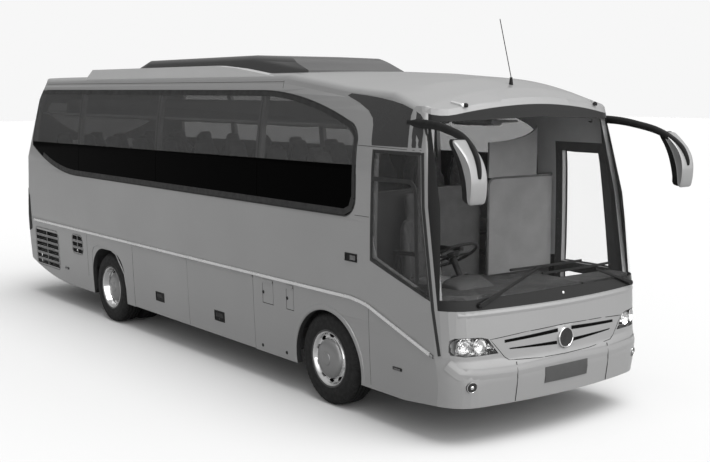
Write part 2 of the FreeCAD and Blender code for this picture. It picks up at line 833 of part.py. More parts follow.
def make_side_glass(skin, band):
    """Four bonded panes on each side and the driver's window."""
    right = skin.common(half_box(-1))
    panes = right.common(band_prism(seat_gap))
    for x in (pane_seam_1, pane_seam_2, pane_seam_3):
        panes = panes.cut(pane_slot(x, pane_gap))
    cab = right.common(cab_window_prism(seat_gap, -half_width - overrun, 0))
    door = skin.common(half_box(1)).common(door_pane_rooms(seat_gap))
    return Part.makeCompound(panes.Solids + flipped(panes).Solids + cab.Solids + door.Solids)


def door_pane_rooms(inset):
    """The door's upper and lower pane rooms."""
    edge = door_frame + inset
    lower = [(door_rear_x + edge, door_low_z + edge), (door_front_x - edge, door_low_z + edge),
             (door_front_x - edge, door_rail_z - inset), (door_rear_x + edge, door_rail_z - inset)]
    low_z = door_rail_z + door_rail + inset
    upper = [(door_rear_x + edge, low_z), (door_front_x - edge, low_z),
             (door_top_front_x() - edge, door_top_z - edge), (door_rear_x + edge, door_top_z - edge)]
    y1 = half_width + overrun
    return Part.makeCompound([prism_y(lower, 0, y1), prism_y(upper, 0, y1)])


def make_door(shell):
    """Entrance door: one framed leaf with two panes."""
    leaf = shell.common(half_box(1)).common(door_prism(0)).cut(front_arch_prism())
    return leaf.cut(door_pane_rooms(0))


def make_flap(shell, side, x0, x1, z0, z1):
    """A top-hung skirt flap with its hinge leaf."""
    room = shell.common(half_box(side))
    if side > 0:
        room = flipped(room)
    panel = room.common(flap_prism(x0, x1, z0, z1, 0))
    leaf = panel.cut(tube_x(*hinge_axis(z1), hinge_leaf, x0 - overrun, x1 + overrun))
    leaf = leaf.fuse(hinge_leaf_bar(x0, x1, z1)).removeSplitter()
    return leaf if side < 0 else flipped(leaf)


def bumper_zone(shift):
    """Room under the bumper's top seam, which dips beneath the grille panel."""
    wide = half_width + overrun
    right = [(-wide, seam_side_z + shift), (-seam_lamp_y, seam_lamp_z + shift),
             (-seam_mid_y, seam_mid_z + shift)]
    left = [(-y, z) for y, z in reversed(right)]
    low = skirt_z - overrun
    return prism_x([(-wide, low)] + right + left + [(wide, low)], mask_rear_x, front_reach + overrun)


def make_front_panel(shell):
    """Panel between bumper and windscreen, cut for the lamps and grille."""
    panel = shell.common(mask_zone(skirt_z - overrun, scuttle_z)).cut(bumper_zone(seat_gap))
    return panel.cut(grille_room(0)).cut(lamp_rooms(0))


def fog_rooms(inset):
    """Rooms of the two fog lamps, drawn back along X."""
    profile = [(mask_rear_x, 0), (mask_rear_x, fog_radius - inset),
               (front_reach + overrun, fog_radius - inset), (front_reach + overrun, 0)]
    room = turned(profile, 0, 0, fog_sides)
    room.rotate(V(0, 0, 0), V(0, 0, 1), -90)
    room.translate(V(0, -fog_y, fog_z))
    return both_sides(room)


def make_bumper(shell):
    bumper = shell.common(mask_zone(skirt_z - overrun, scuttle_z)).common(bumper_zone(0))
    return bumper.cut(grille_room(0)).cut(lamp_rooms(0)).cut(fog_rooms(0))


def panel_room(outline, x0, inset):
    """Room drawn forward from x0 over an outline in Y and Z, made smaller by an inset."""
    corners = [V(x0, y, z) for y, z in outline]
    face = Part.Face(Part.makePolygon(corners + corners[:1]))
    if inset:
        face = face.makeOffset2D(-inset, 2)
    return face.extrude(V(front_reach + overrun - x0, 0, 0))


def grille_room(inset):
    outline = grille_half_outline + tuple((-y, z) for y, z in reversed(grille_half_outline[1:-1]))
    return panel_room(outline, mask_rear_x, inset)


def lamp_rooms(inset):
    """Room of each headlamp, drawn forward over its outline at the nose corner."""
    return both_sides(panel_room(lamp_outline, lamp_rear_x + inset, inset))


def make_front_lamps(shell):
    """Headlamps filling their corner rooms, and round fog lamps in the bumper."""
    heads = shell.common(lamp_rooms(seat_gap))
    fogs = shell.common(fog_rooms(seat_gap))
    return Part.makeCompound(heads.Solids + fogs.Solids)


def make_grille(shell):
    """Grille panel with its tapering slots and a plain round boss on the middle."""
    panel = shell.common(grille_room(seat_gap))
    for outline in (upper_slot, lower_slot):
        panel = panel.cut(both_sides(panel_room(outline, mask_rear_x, 0)))
    face_x = front_surface(shell, 0, disc_z).x
    edge = disc_radius - disc_edge
    profile = [(face_x - wall / 2, 0), (face_x - wall / 2, disc_radius),
               (face_x + disc_proud - disc_edge, disc_radius), (face_x + disc_proud, edge),
               (face_x + disc_proud, 0)]
    disc = turned(profile, 0, 0, disc_sides)
    disc.rotate(V(0, 0, 0), V(0, 0, 1), -90)
    disc.translate(V(0, 0, disc_z))
    return panel.fuse(disc)


def lid_prism(grow):
    behind = -rear_reach - overrun
    return box(behind, rear_split_x + overrun, -lid_half - grow, lid_half + grow,
               lid_low_z - grow, lid_top_z + grow)


def rear_window_prism(inset):
    behind = -rear_reach - overrun
    side_y = rear_window_half - window_corner
    top = rear_window_top_z - window_corner
    low = rear_window_low_z + window_corner
    outline = []
    for turn, y, z in ((0, side_y, top), (90, -side_y, top), (180, -side_y, low), (270, side_y, low)):
        for chord in range(corner_chords + 1):
            way = math.radians(turn + 90 * chord / corner_chords)
            outline.append((y + (window_corner - inset) * math.cos(way),
                            z + (window_corner - inset) * math.sin(way)))
    return prism_x(outline, behind, rear_split_top_x + overrun)


def lid_axis(lower):
    z = lid_top_z + panel_gap
    return rear_surface_x(lower, z) - hinge_proud, z


def make_rear_wall(shell, rebate, lower):
    wall_piece = shell.common(tail_zone(0)).cut(lid_prism(panel_gap))
    wall_piece = wall_piece.cut(rear_window_prism(0).cut(rebate)).cut(rear_window_prism(rear_window_rim))
    wall_piece = wall_piece.cut(tail_lamp_rooms(0))
    x, z = lid_axis(lower)
    for y0, y1 in ((y - lid_ear / 2, y + lid_ear / 2) for y in (-lid_ear_y, lid_ear_y)):
        rod = tube_y(x, z, hinge_rod, y0, y1)
        lip = box(x - hinge_rod / 2, x + wall, y0, y1, z + hinge_rod / 2, z + hinge_leaf)
        wall_piece = wall_piece.fuse(rod).fuse(lip)
    return wall_piece


def make_engine_lid(shell, lower):
    lid = shell.common(lid_prism(0))
    x, z = lid_axis(lower)
    for y0, y1 in ((y - lid_ear / 2, y + lid_ear / 2) for y in (-lid_ear_y, lid_ear_y)):
        bar = box(x - hinge_leaf_out, x + wall, y0, y1, z - hinge_leaf, z - panel_gap / 2)
        lid = lid.fuse(bar).cut(tube_y(x, z, hinge_rod + hinge_slack, y0 - hinge_rod, y1 + hinge_rod))
    return lid


def tail_lamp_rooms(inset):
    outer = half_width + overrun
    room = box(-rear_reach - overrun, rear_split_x - panel_gap - inset, -outer, -tail_lamp_y - inset,
               tail_lamp_low_z + inset, tail_lamp_top_z - inset)
    return both_sides(room)


def make_roof_fairings(cover):
    """Long fairings along both roof edges, running down at their ends."""
    points = [(fairing_rear_x, fairing_low_z), (fairing_rear_top_x, fairing_top_z),
              (fairing_slope_x, fairing_top_z), (fairing_fall_x, fairing_fall_z),
              (fairing_end_x, fairing_low_z)]
    y0 = -fairing_y - fairing_width / 2
    bar = prism_y(points, y0, y0 + fairing_width).cut(cover)
    return both_sides(bar)


def make_unit(cover):
    """Roof air-conditioning unit with a long sloping nose."""
    points = [(unit_rear_x, unit_low_z), (unit_rear_x, unit_rear_z), (unit_shoulder_x, unit_shoulder_z),
              (unit_front_top_x, unit_top_z), (unit_brow_x, unit_brow_z), (unit_front_x, unit_front_z),
              (unit_front_x, unit_low_z)]
    case = prism_y(points, -unit_half, unit_half)
    long_edges = [edge for edge in case.Edges
                  if abs(edge.BoundBox.YLength) < seat_gap and edge.BoundBox.ZMin > unit_rear_z - plate]
    return case.makeFillet(unit_corner, long_edges).cut(cover)


def make_aerial(cover):
    foot = Part.makeCone(aerial_foot, aerial_foot / 2, aerial_foot_height, V(aerial_x, 0, aerial_base_z))
    foot_top = aerial_base_z + aerial_foot_height
    start = V(aerial_x, 0, foot_top - aerial_radius)
    rod = rod_between(start, V(aerial_lean_x, 0, aerial_top_z), aerial_radius)
    return foot.cut(cover).fuse(rod)


def eighth_turns():
    return [math.pi / 4 * (side + 1 / 2) for side in range(8)]


def octagon(centre, u, v, radius):
    """Eight-sided face round a centre in the plane of two directions."""
    points = [centre + u * (radius * math.cos(turn)) + v * (radius * math.sin(turn))
              for turn in eighth_turns()]
    return Part.Face(Part.makePolygon(points + points[:1]))


def rod_between(a, b, radius):
    """Eight-sided rod from one point to another."""
    run = b - a
    side = run.cross(V(0, 0, 1))
    side.normalize()
    up = run.cross(side)
    up.normalize()
    return octagon(a, side, up, radius).extrude(run)


def arm_section(place, half, along):
    """Eight-sided section of a mirror arm across the way it runs."""
    across = V(0, 0, 1) if abs(along.z) < math.sqrt(0.5) else V(1, 0, 0)
    u = across - along * across.dot(along)
    u.normalize()
    return octagon(place, u, along.cross(u), half / math.cos(math.pi / 8)).OuterWire


def mirror_wire(y, share):
    """Outline of a mirror housing across Y, drawn in towards its middle by a share."""
    mid_x = sum(x for x, z in mirror_face) / len(mirror_face)
    mid_z = sum(z for x, z in mirror_face) / len(mirror_face)
    points = [V(mid_x + (x - mid_x) * share, y, mid_z + (z - mid_z) * share) for x, z in mirror_face]
    return Part.makePolygon(points + points[:1])


def make_mirrors(cover):
    """Horn-shaped arms sweeping out ahead of the nose, each with its hanging mirror head."""
    places = [V(x, -y, z) for x, y, z in arm_path]
    chords = [(b - a).normalize() for a, b in zip(places[:-2], places[2:])]
    ways = [(places[1] - places[0]).normalize()] + chords + [V(0, 0, -1)]
    sections = [arm_section(*values) for values in zip(places, arm_halves, ways)]
    arm = Part.makeLoft(sections, True, True)
    face = Part.makeLoft([mirror_wire(-mirror_outer_y, mirror_end_share),
                          mirror_wire(-mirror_outer_y + mirror_edge, 1),
                          mirror_wire(-mirror_inner_y - mirror_edge, 1),
                          mirror_wire(-mirror_inner_y, mirror_end_share)], True, True)
    bezel = prism_y(mirror_bezel, -mirror_outer_y + bezel_inset, -mirror_inner_y - bezel_inset)
    return both_sides(arm.cut(cover).fuse(face).fuse(bezel))


def front_surface(form, y, z):
    """Point of the nose's outer skin at a height and a distance from the middle."""
    probe = line(V(0, y, z), V(front_reach + overrun, y, z))
    return V(max(vertex.X for vertex in probe.common(form).Vertexes), y, z)


def make_wipers(lower):
    """Two wipers lying just ahead of the glass, each on its spindle under the scuttle's edge."""
    wipers = []
    stand = V(wiper_stand, 0, 0)
    for pivot_y, tip_y, blade_from_y, blade_to_y in wiper_ys:
        foot = front_surface(lower, pivot_y, wiper_pivot_z)
        pivot = foot + stand
        tip = front_surface(lower, tip_y, wiper_tip_z) + stand
        start = front_surface(lower, blade_from_y, wiper_tip_z) + stand
        end = front_surface(lower, blade_to_y, wiper_end_z) + stand
        spindle = rod_between(foot - stand, pivot, wiper_radius)
        arm = rod_between(pivot, tip, wiper_radius)
        blade = rod_between(start, end, wiper_radius)
        wipers.append(spindle.fuse(arm).fuse(blade).cut(lower))
    return wipers


def make_deck():
    """Cabin floor and the driver's platform."""
    inner = half_width - wall - plate
    deck = box(rear_split_x + plate, deck_front_x, -inner, inner, deck_z - deck_thick, deck_z)
    front_x = mask_rear_x - plate
    riser = box(deck_front_x - deck_thick, deck_front_x, -inner, inner, platform_z - deck_thick, deck_z)
    platform = box(deck_front_x, front_x, -inner, stairwell_y, platform_z - deck_thick, platform_z)
    return deck.fuse(riser).fuse(platform).common(inner_room()).removeSplitter()


def make_entrance_steps(deck):
    """Moulded step unit that fills the well between the door and the platform."""
    inner = half_width - wall - plate
    front_x = mask_rear_x - plate
    rise = (deck_z - step_first_z) / (step_count + 1)
    depth = (inner - stairwell_y) / step_count
    treads = []
    for step in range(step_count):
        z1 = step_first_z + step * rise
        y1 = inner - step * depth
        tread = box(deck_front_x, front_x, y1 - depth, y1, z1 - deck_thick, z1)
        back = box(deck_front_x, front_x, y1 - depth - plate, y1 - depth + plate,
                   z1 - deck_thick, z1 + rise - seat_gap)
        treads += [tread, back]
    steps = treads[0].multiFuse(treads[1:])
    return steps.common(inner_room()).cut(deck).removeSplitter()


def inner_room():
    return side_form(wall + seat_gap).common(plan_form(wall + seat_gap))


def make_hold():
    """Luggage hold: its floor and the two bulkheads up to the cabin floor."""
    inner = half_width
    floor = box(flap_rear_x - bulkhead, flap_front_x + bulkhead, -inner, inner,
                hold_floor_z, hold_floor_z + hold_floor_thick)
    top = deck_z - deck_thick
    rear = box(flap_rear_x - 2 * bulkhead, flap_rear_x - bulkhead, -inner, inner, hold_floor_z, top)
    front = box(flap_front_x + bulkhead, flap_front_x + 2 * bulkhead, -inner, inner, hold_floor_z, top)
    return floor.fuse(rear).fuse(front).common(inner_room()).removeSplitter()


def rail_spans():
    """Rear and front stretch of the rails, either side of the hold."""
    return ((rail_rear_x, flap_rear_x - 2 * bulkhead), (flap_front_x + 2 * bulkhead, rail_front_x))


def make_underframe():
    """Two rails at each end with cross members out to the side walls."""
    frame = []
    top = rail_low_z + rail_height
    for x0, x1 in rail_spans():
        rail = box(x0, x1, -rail_y - rail_width / 2, -rail_y + rail_width / 2, rail_low_z, top)
        stretch = rail.fuse(flipped(rail))
        for x in cross_places(x0, x1):
            beam = box(x - cross_width / 2, x + cross_width / 2, -half_width, half_width,
                       top - cross_height, top)
            stretch = stretch.fuse(beam)
            posts = box(x - cross_width / 2, x + cross_width / 2, -rail_y - rail_width / 2,
                        -rail_y + rail_width / 2, top, deck_z - deck_thick)
            if x < deck_front_x - cross_width and not engine_rear_x < x < engine_front_x:
                stretch = stretch.fuse(posts).fuse(flipped(posts))
        if x0 < jack_pad_x < x1:
            pad = box(jack_pad_x - jack_pad_half, jack_pad_x + jack_pad_half, -rail_y - rail_width / 2,
                      -rail_y + rail_width / 2, rail_low_z - jack_pad_deep, rail_low_z)
            stretch = stretch.fuse(pad).fuse(flipped(pad))
        frame.append(stretch)
    low = platform_z - deck_thick - nose_rail_height
    under = platform_z - deck_thick
    rail = box(front_cross_places[-1] - cross_width / 2, nose_rail_front_x, -nose_rail_y - rail_width / 2,
               -nose_rail_y + rail_width / 2, low, under)
    frame[1] = frame[1].fuse(rail).fuse(flipped(rail))
    for x in nose_cross_places:
        beam = box(x - cross_width / 2, x + cross_width / 2, -half_width, stairwell_y - deck_thick,
                   under - cross_height, under)
        frame[1] = frame[1].fuse(beam)
    frame[1] = frame[1].fuse(tow_plate(nose_cross_places[-1] + cross_width / 2, 1, under))
    frame[0] = frame[0].fuse(tow_plate(rear_cross_places[0] - cross_width / 2, -1, top))
    beside = tube_y(0, housing_z, housing_radius + 2 * plate, housing_inner_y - 2 * plate, half_width)
    return Part.makeCompound(frame).common(inner_room()).cut(both_sides(beside))


def tow_plate(x, way, top):
    """Plate on an end cross member with an upright hole for a towing pin."""
    x0, x1 = sorted((x, x + way * tow_plate_reach))
    block = box(x0, x1, -tow_plate_half, tow_plate_half, top - cross_height, top)
    return block.cut(tube_z((x0 + x1) / 2, 0, tow_hole_radius, top - 2 * cross_height, top + cross_height))


def cross_places(x0, x1):
    if x0 < flap_rear_x:
        return rear_cross_places
    return front_cross_places


def housing_shell(x, radius, z):
    """Wheel housing: a half barrel over the wheel with its inner end wall."""
    outer = half_width
    barrel = tube_y(x, z, radius + plate, housing_inner_y - plate, outer)
    barrel = barrel.cut(tube_y(x, z, radius, housing_inner_y, outer))
    room = box(x - radius - plate, x + radius + plate, 0, outer, housing_low_z, section_top_z)
    return barrel.common(room)


def make_housings():
    front = housing_shell(0, housing_radius, housing_z)
    rear = housing_shell((rear_arch_rear_x + rear_arch_front_x) / 2, housing_radius, housing_z)
    pieces = Part.makeCompound([both_sides(front), both_sides(rear)]).common(inner_room())
    return pieces


def beam_top():
    return tyre_radius + beam_height / 2


def post(x, y, radius, z0, z1):
    """Upright eight-sided post."""
    return octagon(V(x, y, z0), V(1, 0, 0), V(0, 1, 0), radius).extrude(V(0, 0, z1 - z0))


def make_front_axle():
    """Forged I-section beam between the kingpin eyes, with the pins standing out of the eyes."""
    low = tyre_radius - beam_height / 2
    inner = pin_y - eye_radius / 2
    beam = box(-beam_width / 2, beam_width / 2, -inner, inner, low, beam_top())
    for x0, x1 in ((-beam_width, -beam_web / 2), (beam_web / 2, beam_width)):
        beam = beam.cut(box(x0, x1, -inner + eye_radius * 2, inner - eye_radius * 2,
                            low + beam_flange, beam_top() - beam_flange))
    eye_low = tyre_radius - eye_height / 2
    axle = beam
    for side in (-1, 1):
        eye = post(0, side * pin_y, eye_radius, eye_low, eye_low + eye_height)
        pin = tube_z(0, side * pin_y, pin_radius, eye_low - fork_height, eye_low + eye_height + fork_height)
        axle = axle.fuse(eye).fuse(pin)
    return axle.removeSplitter()


def make_knuckle():
    """Right knuckle: two fork rings round the kingpin, their web and the wheel spindle."""
    eye_low = tyre_radius - eye_height / 2
    eye_top = eye_low + eye_height
    web_y0 = -pin_y - eye_radius - panel_gap - plate * 2
    web_y1 = -pin_y - eye_radius - panel_gap
    web = box(-eye_radius, eye_radius, web_y0, web_y1, eye_low - fork_height, eye_top + fork_height)
    knuckle = web
    for z0, z1 in ((eye_low - fork_height, eye_low - seat_gap), (eye_top + seat_gap, eye_top + fork_height)):
        ring = post(0, -pin_y, eye_radius, z0, z1)
        arm = box(-eye_radius, eye_radius, web_y1, -pin_y, z0, z1)
        knuckle = knuckle.fuse(ring).fuse(arm)
    knuckle = knuckle.cut(tube_z(0, -pin_y, pin_radius + pin_slack, 0, 2 * tyre_radius))
    spindle = tube_y(0, tyre_radius, spindle_radius, -spindle_end_y, web_y1)
    return knuckle.fuse(spindle).removeSplitter()


def turned(profile, x, z, sides):
    """Solid turned about a wheel axis in flat-sided rings, from places (distance out, radius).

    A flat lies at the bottom and the radii are measured to the flats."""
    reach = 1 / math.cos(math.pi / sides)
    turns = [2 * math.pi * (side + 1 / 2) / sides - math.pi / 2 for side in range(sides)]

    def corner(place, side):
        y, r = place
        turn = turns[side % sides]
        return V(x + r * reach * math.cos(turn), y, z + r * reach * math.sin(turn))

    faces = []
    for a, b in zip(profile, profile[1:] + profile[:1]):
        for side in range(sides):
            loop = [corner(a, side), corner(a, side + 1), corner(b, side + 1), corner(b, side)]
            if a[1] == 0:
                loop = loop[1:]
            if b[1] == 0:
                loop = loop[:-1]
            if len(loop) > 2:
                faces.append(Part.Face(Part.makePolygon(loop + loop[:1])))
    shell = Part.makeShell(faces)
    shell.sewShape()
    solid = Part.makeSolid(shell)
    if solid.Volume < 0:
        solid.reverse()
    return solid


def tyre_profile(outer_y):
    """Tyre section from its outer face inwards, between the rim seats."""
    inner_y = outer_y - tyre_width
    return [(outer_y - tyre_lip, rim_radius + rim_seat), (outer_y, rim_radius + 2 * tyre_lip),
            (outer_y - tyre_bulge, tyre_radius - tyre_shoulder), (outer_y - tyre_shoulder, tyre_radius),
            (inner_y + tyre_shoulder, tyre_radius), (inner_y + tyre_bulge, tyre_radius - tyre_shoulder),
            (inner_y, rim_radius + 2 * tyre_lip), (inner_y + tyre_lip, rim_radius + rim_seat)]


def make_tyres(x, outer_ys):
    """Left tyres of one wheel body."""
    return Part.makeCompound([turned(tyre_profile(y), x, tyre_radius, wheel_sides) for y in outer_ys])


def cover_profile(outer_y):
    """Wheel cover seen in section, from the rim's lip over the valley and the dome to the middle."""
    return [(outer_y - tyre_lip, rim_radius + rim_seat - seat_gap - rim_wall),
            (outer_y - cover_valley_depth, cover_valley_radius),
            (outer_y - cover_dome_depth - plate, cover_dome_radius),
            (outer_y - cover_dome_depth, cover_step_radius),
            (outer_y - cover_dome_depth / 2, cover_step_radius - plate),
            (outer_y - cover_dome_depth / 2, cover_centre_radius), (outer_y, cover_centre_radius - plate),
            (outer_y, 0)]


def make_front_rim():
    """Left front rim with its cover and the drum hub that runs on the spindle."""
    seat = rim_radius + rim_seat - seat_gap
    inner_y = wheel_outer_y - tyre_width + tyre_lip
    hub_y = pin_y + eye_radius + 2 * panel_gap + 2 * plate
    back_y = wheel_outer_y - cover_valley_depth - 2 * rim_wall
    profile = [(wheel_outer_y - tyre_lip, seat)] + cover_profile(wheel_outer_y)
    profile += [(hub_y, 0), (hub_y, drum_radius), (back_y, drum_radius), (inner_y, seat - rim_wall),
                (inner_y, seat)]
    rim = turned(profile, 0, tyre_radius, wheel_sides)
    return rim.cut(tube_y(0, tyre_radius, spindle_radius + pin_slack, 0, spindle_end_y + seat_gap))


def make_rear_rims():
    """Left rear rims of the twin wheels, joined by their hub and drum."""
    x = -wheelbase
    dish_y = wheel_outer_y - rear_dish_depth
    pitch_y = wheel_outer_y - twin_pitch
    seat = rim_radius + rim_seat - seat_gap
    hub_y = pitch_y - tyre_width + 2 * tyre_lip
    outer_inner_y = wheel_outer_y - tyre_width + tyre_lip
    profile = [(wheel_outer_y - tyre_lip, seat), (wheel_outer_y - tyre_lip, seat - rim_wall),
               (dish_y, seat - 2 * rim_wall)]
    profile += cover_profile(dish_y)[1:]
    profile += [(hub_y, 0), (hub_y, drum_radius), (pitch_y - tyre_width + tyre_lip, seat - rim_wall),
                (pitch_y - tyre_width + tyre_lip, seat), (pitch_y - tyre_lip, seat),
                (pitch_y - tyre_lip, seat - rim_wall), (outer_inner_y, seat - rim_wall),
                (outer_inner_y, seat)]
    rims = turned(profile, x, tyre_radius, wheel_sides)
    return rims.cut(tube_y(x, tyre_radius, spindle_radius + pin_slack, 0, spindle_end_rear_y + seat_gap))


def make_rear_axle():
    """Axle tube with its differential and the two spindles."""
    x = -wheelbase
    pitch_y = wheel_outer_y - twin_pitch
    tube_end = pitch_y - tyre_width + 2 * tyre_lip - panel_gap
    profile = [(-tube_end, 0), (-tube_end, rear_tube_radius), (-diff_radius, rear_tube_radius),
               (-diff_radius / 2, diff_radius), (diff_radius / 2, diff_radius),
               (diff_radius, rear_tube_radius), (tube_end, rear_tube_radius), (tube_end, 0)]
    axle = turned(profile, x, tyre_radius, axle_sides)
    return axle.fuse(tube_y(x, tyre_radius, spindle_radius, -spindle_end_rear_y, spindle_end_rear_y))


def make_bellows():
    """Air springs between the axles and the rails."""
    springs = []
    for x, low in ((0, beam_top()), (-wheelbase, tyre_radius + rear_tube_radius)):
        spring = post(x, rail_y, bellows_radius, low + bellows_foot, rail_low_z)
        foot = post(x, rail_y, bellows_radius / 2, low, low + bellows_foot)
        springs.append(both_sides(spring.fuse(foot)))
    return Part.makeCompound(springs)


def make_engine():
    block = box(engine_rear_x, engine_front_x, -engine_half, engine_half, engine_low_z, engine_top_z)
    slot = box(engine_rear_x, engine_front_x, -rail_y - rail_width, rail_y + rail_width, rail_low_z, deck_z)
    rails = slot.cut(box(engine_rear_x, engine_front_x, -engine_half, engine_half, rail_low_z, deck_z))
    return block.cut(rails)


def make_tanks():
    """Fuel tank on the right and battery box on the left, each against its rail."""
    inner = rail_y + rail_width / 2
    top = rail_low_z + rail_height - cross_height
    tank = box(tank_rear_x, tank_front_x, inner, tank_outer_y, tank_low_z, top)
    return tank


def seat_back_outline(y0, y1):
    """Outline of two backs side by side, each narrowing to its headrest, in Y and Z."""
    middle = (y0 + y1) / 2
    points = [(y0, seat_z - seat_thick)]
    for a, b in ((y0, middle - seat_gap_half), (middle + seat_gap_half, y1)):
        points += [(a, head_low_z), (a + head_inset, head_top_z), (b - head_inset, head_top_z),
                   (b, head_low_z)]
        if b < middle:
            points += [(b, seat_z + seat_thick), (middle + seat_gap_half, seat_z + seat_thick)]
    return points + [(y1, seat_z - seat_thick)]


def seat_row(x, y0, y1):
    """One pair of seats: cushion, two leaning backs with headrests and a foot on the floor."""
    middle = (y0 + y1) / 2
    rear_x = x - seat_deep / 2
    foot = box(rear_x, x + seat_deep / 2, middle - seat_leg, middle + seat_leg,
               deck_z + seat_gap, seat_z - seat_thick)
    side = [(x + seat_deep / 2, seat_z - seat_thick), (x + seat_deep / 2, seat_z),
            (rear_x + back_thick, seat_z), (rear_x + back_thick - back_lean, head_top_z),
            (rear_x - back_lean, head_top_z), (rear_x, seat_z - seat_thick)]
    outline = prism_x(seat_back_outline(y0, y1), rear_x - back_lean, x + seat_deep / 2)
    return prism_y(side, y0, y1).common(outline).fuse(foot).removeSplitter()


def make_seats():
    rows = []
    for row in range(seat_rows):
        x = seat_first_x - row * seat_pitch
        for side in (-1, 1):
            y0, y1 = sorted((side * seat_inner_y, side * seat_outer_y))
            rows.append(seat_row(x, y0, y1))
    return Part.makeCompound(rows)


def make_racks():
    """Luggage racks along both sides under the roof."""
    outer = half_width
    rack = box(rack_rear_x, rack_front_x, outer - wall - rack_reach, outer,
               rack_low_z, rack_low_z + plate * 3)
    lip = box(rack_rear_x, rack_front_x, outer - wall - rack_reach, outer - wall - rack_reach + plate * 3,
              rack_low_z, rack_low_z + rack_height)
    return both_sides(rack.fuse(lip).removeSplitter()).common(inner_room())


def make_screen_wall():
    """Low wall behind the driver's seat."""
    return box(screen_wall_x, screen_wall_x + screen_wall_thick, driver_y - driver_screen_half,
               stairwell_y - door_frame, deck_z + seat_gap, screen_wall_top_z)


def make_dashboard():
    points = [(dash_rear_x, dash_low_z), (dash_rear_x, dash_z - dash_slope),
              (dash_rear_x + dash_slope, dash_z),
              (front_reach, dash_z), (front_reach, scuttle_z - dash_slope),
              (dash_foot_x, platform_z + seat_gap), (dash_foot_x - dash_slope, platform_z + seat_gap)]
    body = prism_y(points, -half_width, stairwell_y - 2 * plate)
    return body.common(inner_room()).cut(make_column(column_radius + seat_gap))


def make_driver_seat():
    """Driver's seat on its pedestal, its back narrowing to the headrest."""
    x = driver_seat_x
    half = driver_seat_half
    foot = box(x - half / 2, x + half / 2, driver_y - half / 2, driver_y + half / 2,
               platform_z + seat_gap, driver_seat_z - seat_thick)
    side = [(x + half, driver_seat_z - seat_thick), (x + half, driver_seat_z),
            (x - half + back_thick, driver_seat_z), (x - half + back_thick - back_lean, driver_back_top_z),
            (x - half - back_lean, driver_back_top_z), (x - half, driver_seat_z - seat_thick)]
    outline = [(driver_y - half, driver_seat_z - seat_thick), (driver_y - half, driver_head_low_z),
               (driver_y - driver_head_half, driver_head_low_z + head_inset),
               (driver_y - driver_head_half, driver_back_top_z),
               (driver_y + driver_head_half, driver_back_top_z),
               (driver_y + driver_head_half, driver_head_low_z + head_inset),
               (driver_y + half, driver_head_low_z), (driver_y + half, driver_seat_z - seat_thick)]
    cushion = prism_y(side, driver_y - half, driver_y + half)
    cushion = cushion.common(prism_x(outline, x - half - back_lean, x + half))
    return cushion.fuse(foot).removeSplitter()


def wheel_axis():
    """Direction from the dashboard up to the driver along the steering column."""
    return V(-math.sin(wheel_tilt), 0, math.cos(wheel_tilt))


def make_steering_wheel():
    centre = V(wheel_centre_x, driver_y, wheel_centre_z)
    axis = wheel_axis()
    across = V(0, 1, 0)
    fore = axis.cross(across)
    section = [(wheel_tube * math.sin(turn), wheel_ring_radius + wheel_tube * math.cos(turn))
               for turn in eighth_turns()]
    ring = turned(section, 0, 0, wheel_sides)
    ring.rotate(V(0, 0, 0), V(1, 0, 0), 90)
    ring.rotate(V(0, 0, 0), across, -math.degrees(wheel_tilt))
    ring.translate(centre)
    hub = Part.makeCylinder(column_radius * 2, wheel_tube * 2, centre - axis * wheel_tube, axis)
    spokes = [rod_between(centre, centre + way * wheel_ring_radius, wheel_tube * 2 / 3)
              for way in (across, across * -1, fore)]
    wheel = ring.fuse(hub)
    for spoke in spokes:
        wheel = wheel.fuse(spoke)
    return wheel


def make_column(radius):
    """Fixed column from the dashboard to just under the steering wheel."""
    axis = wheel_axis()
    top = V(wheel_centre_x, driver_y, wheel_centre_z) - axis * (wheel_tube + seat_gap)
    return Part.makeCylinder(radius, column_length, top, axis * -1)


def write(name, shape):
    """Move a piece so that the origin lies under the middle of the length, and save it."""
    moved = shape.copy()
    moved.translate(V(-middle_x, 0, 0))
    moved.exportStep(os.path.join("parts", name + ".step"))


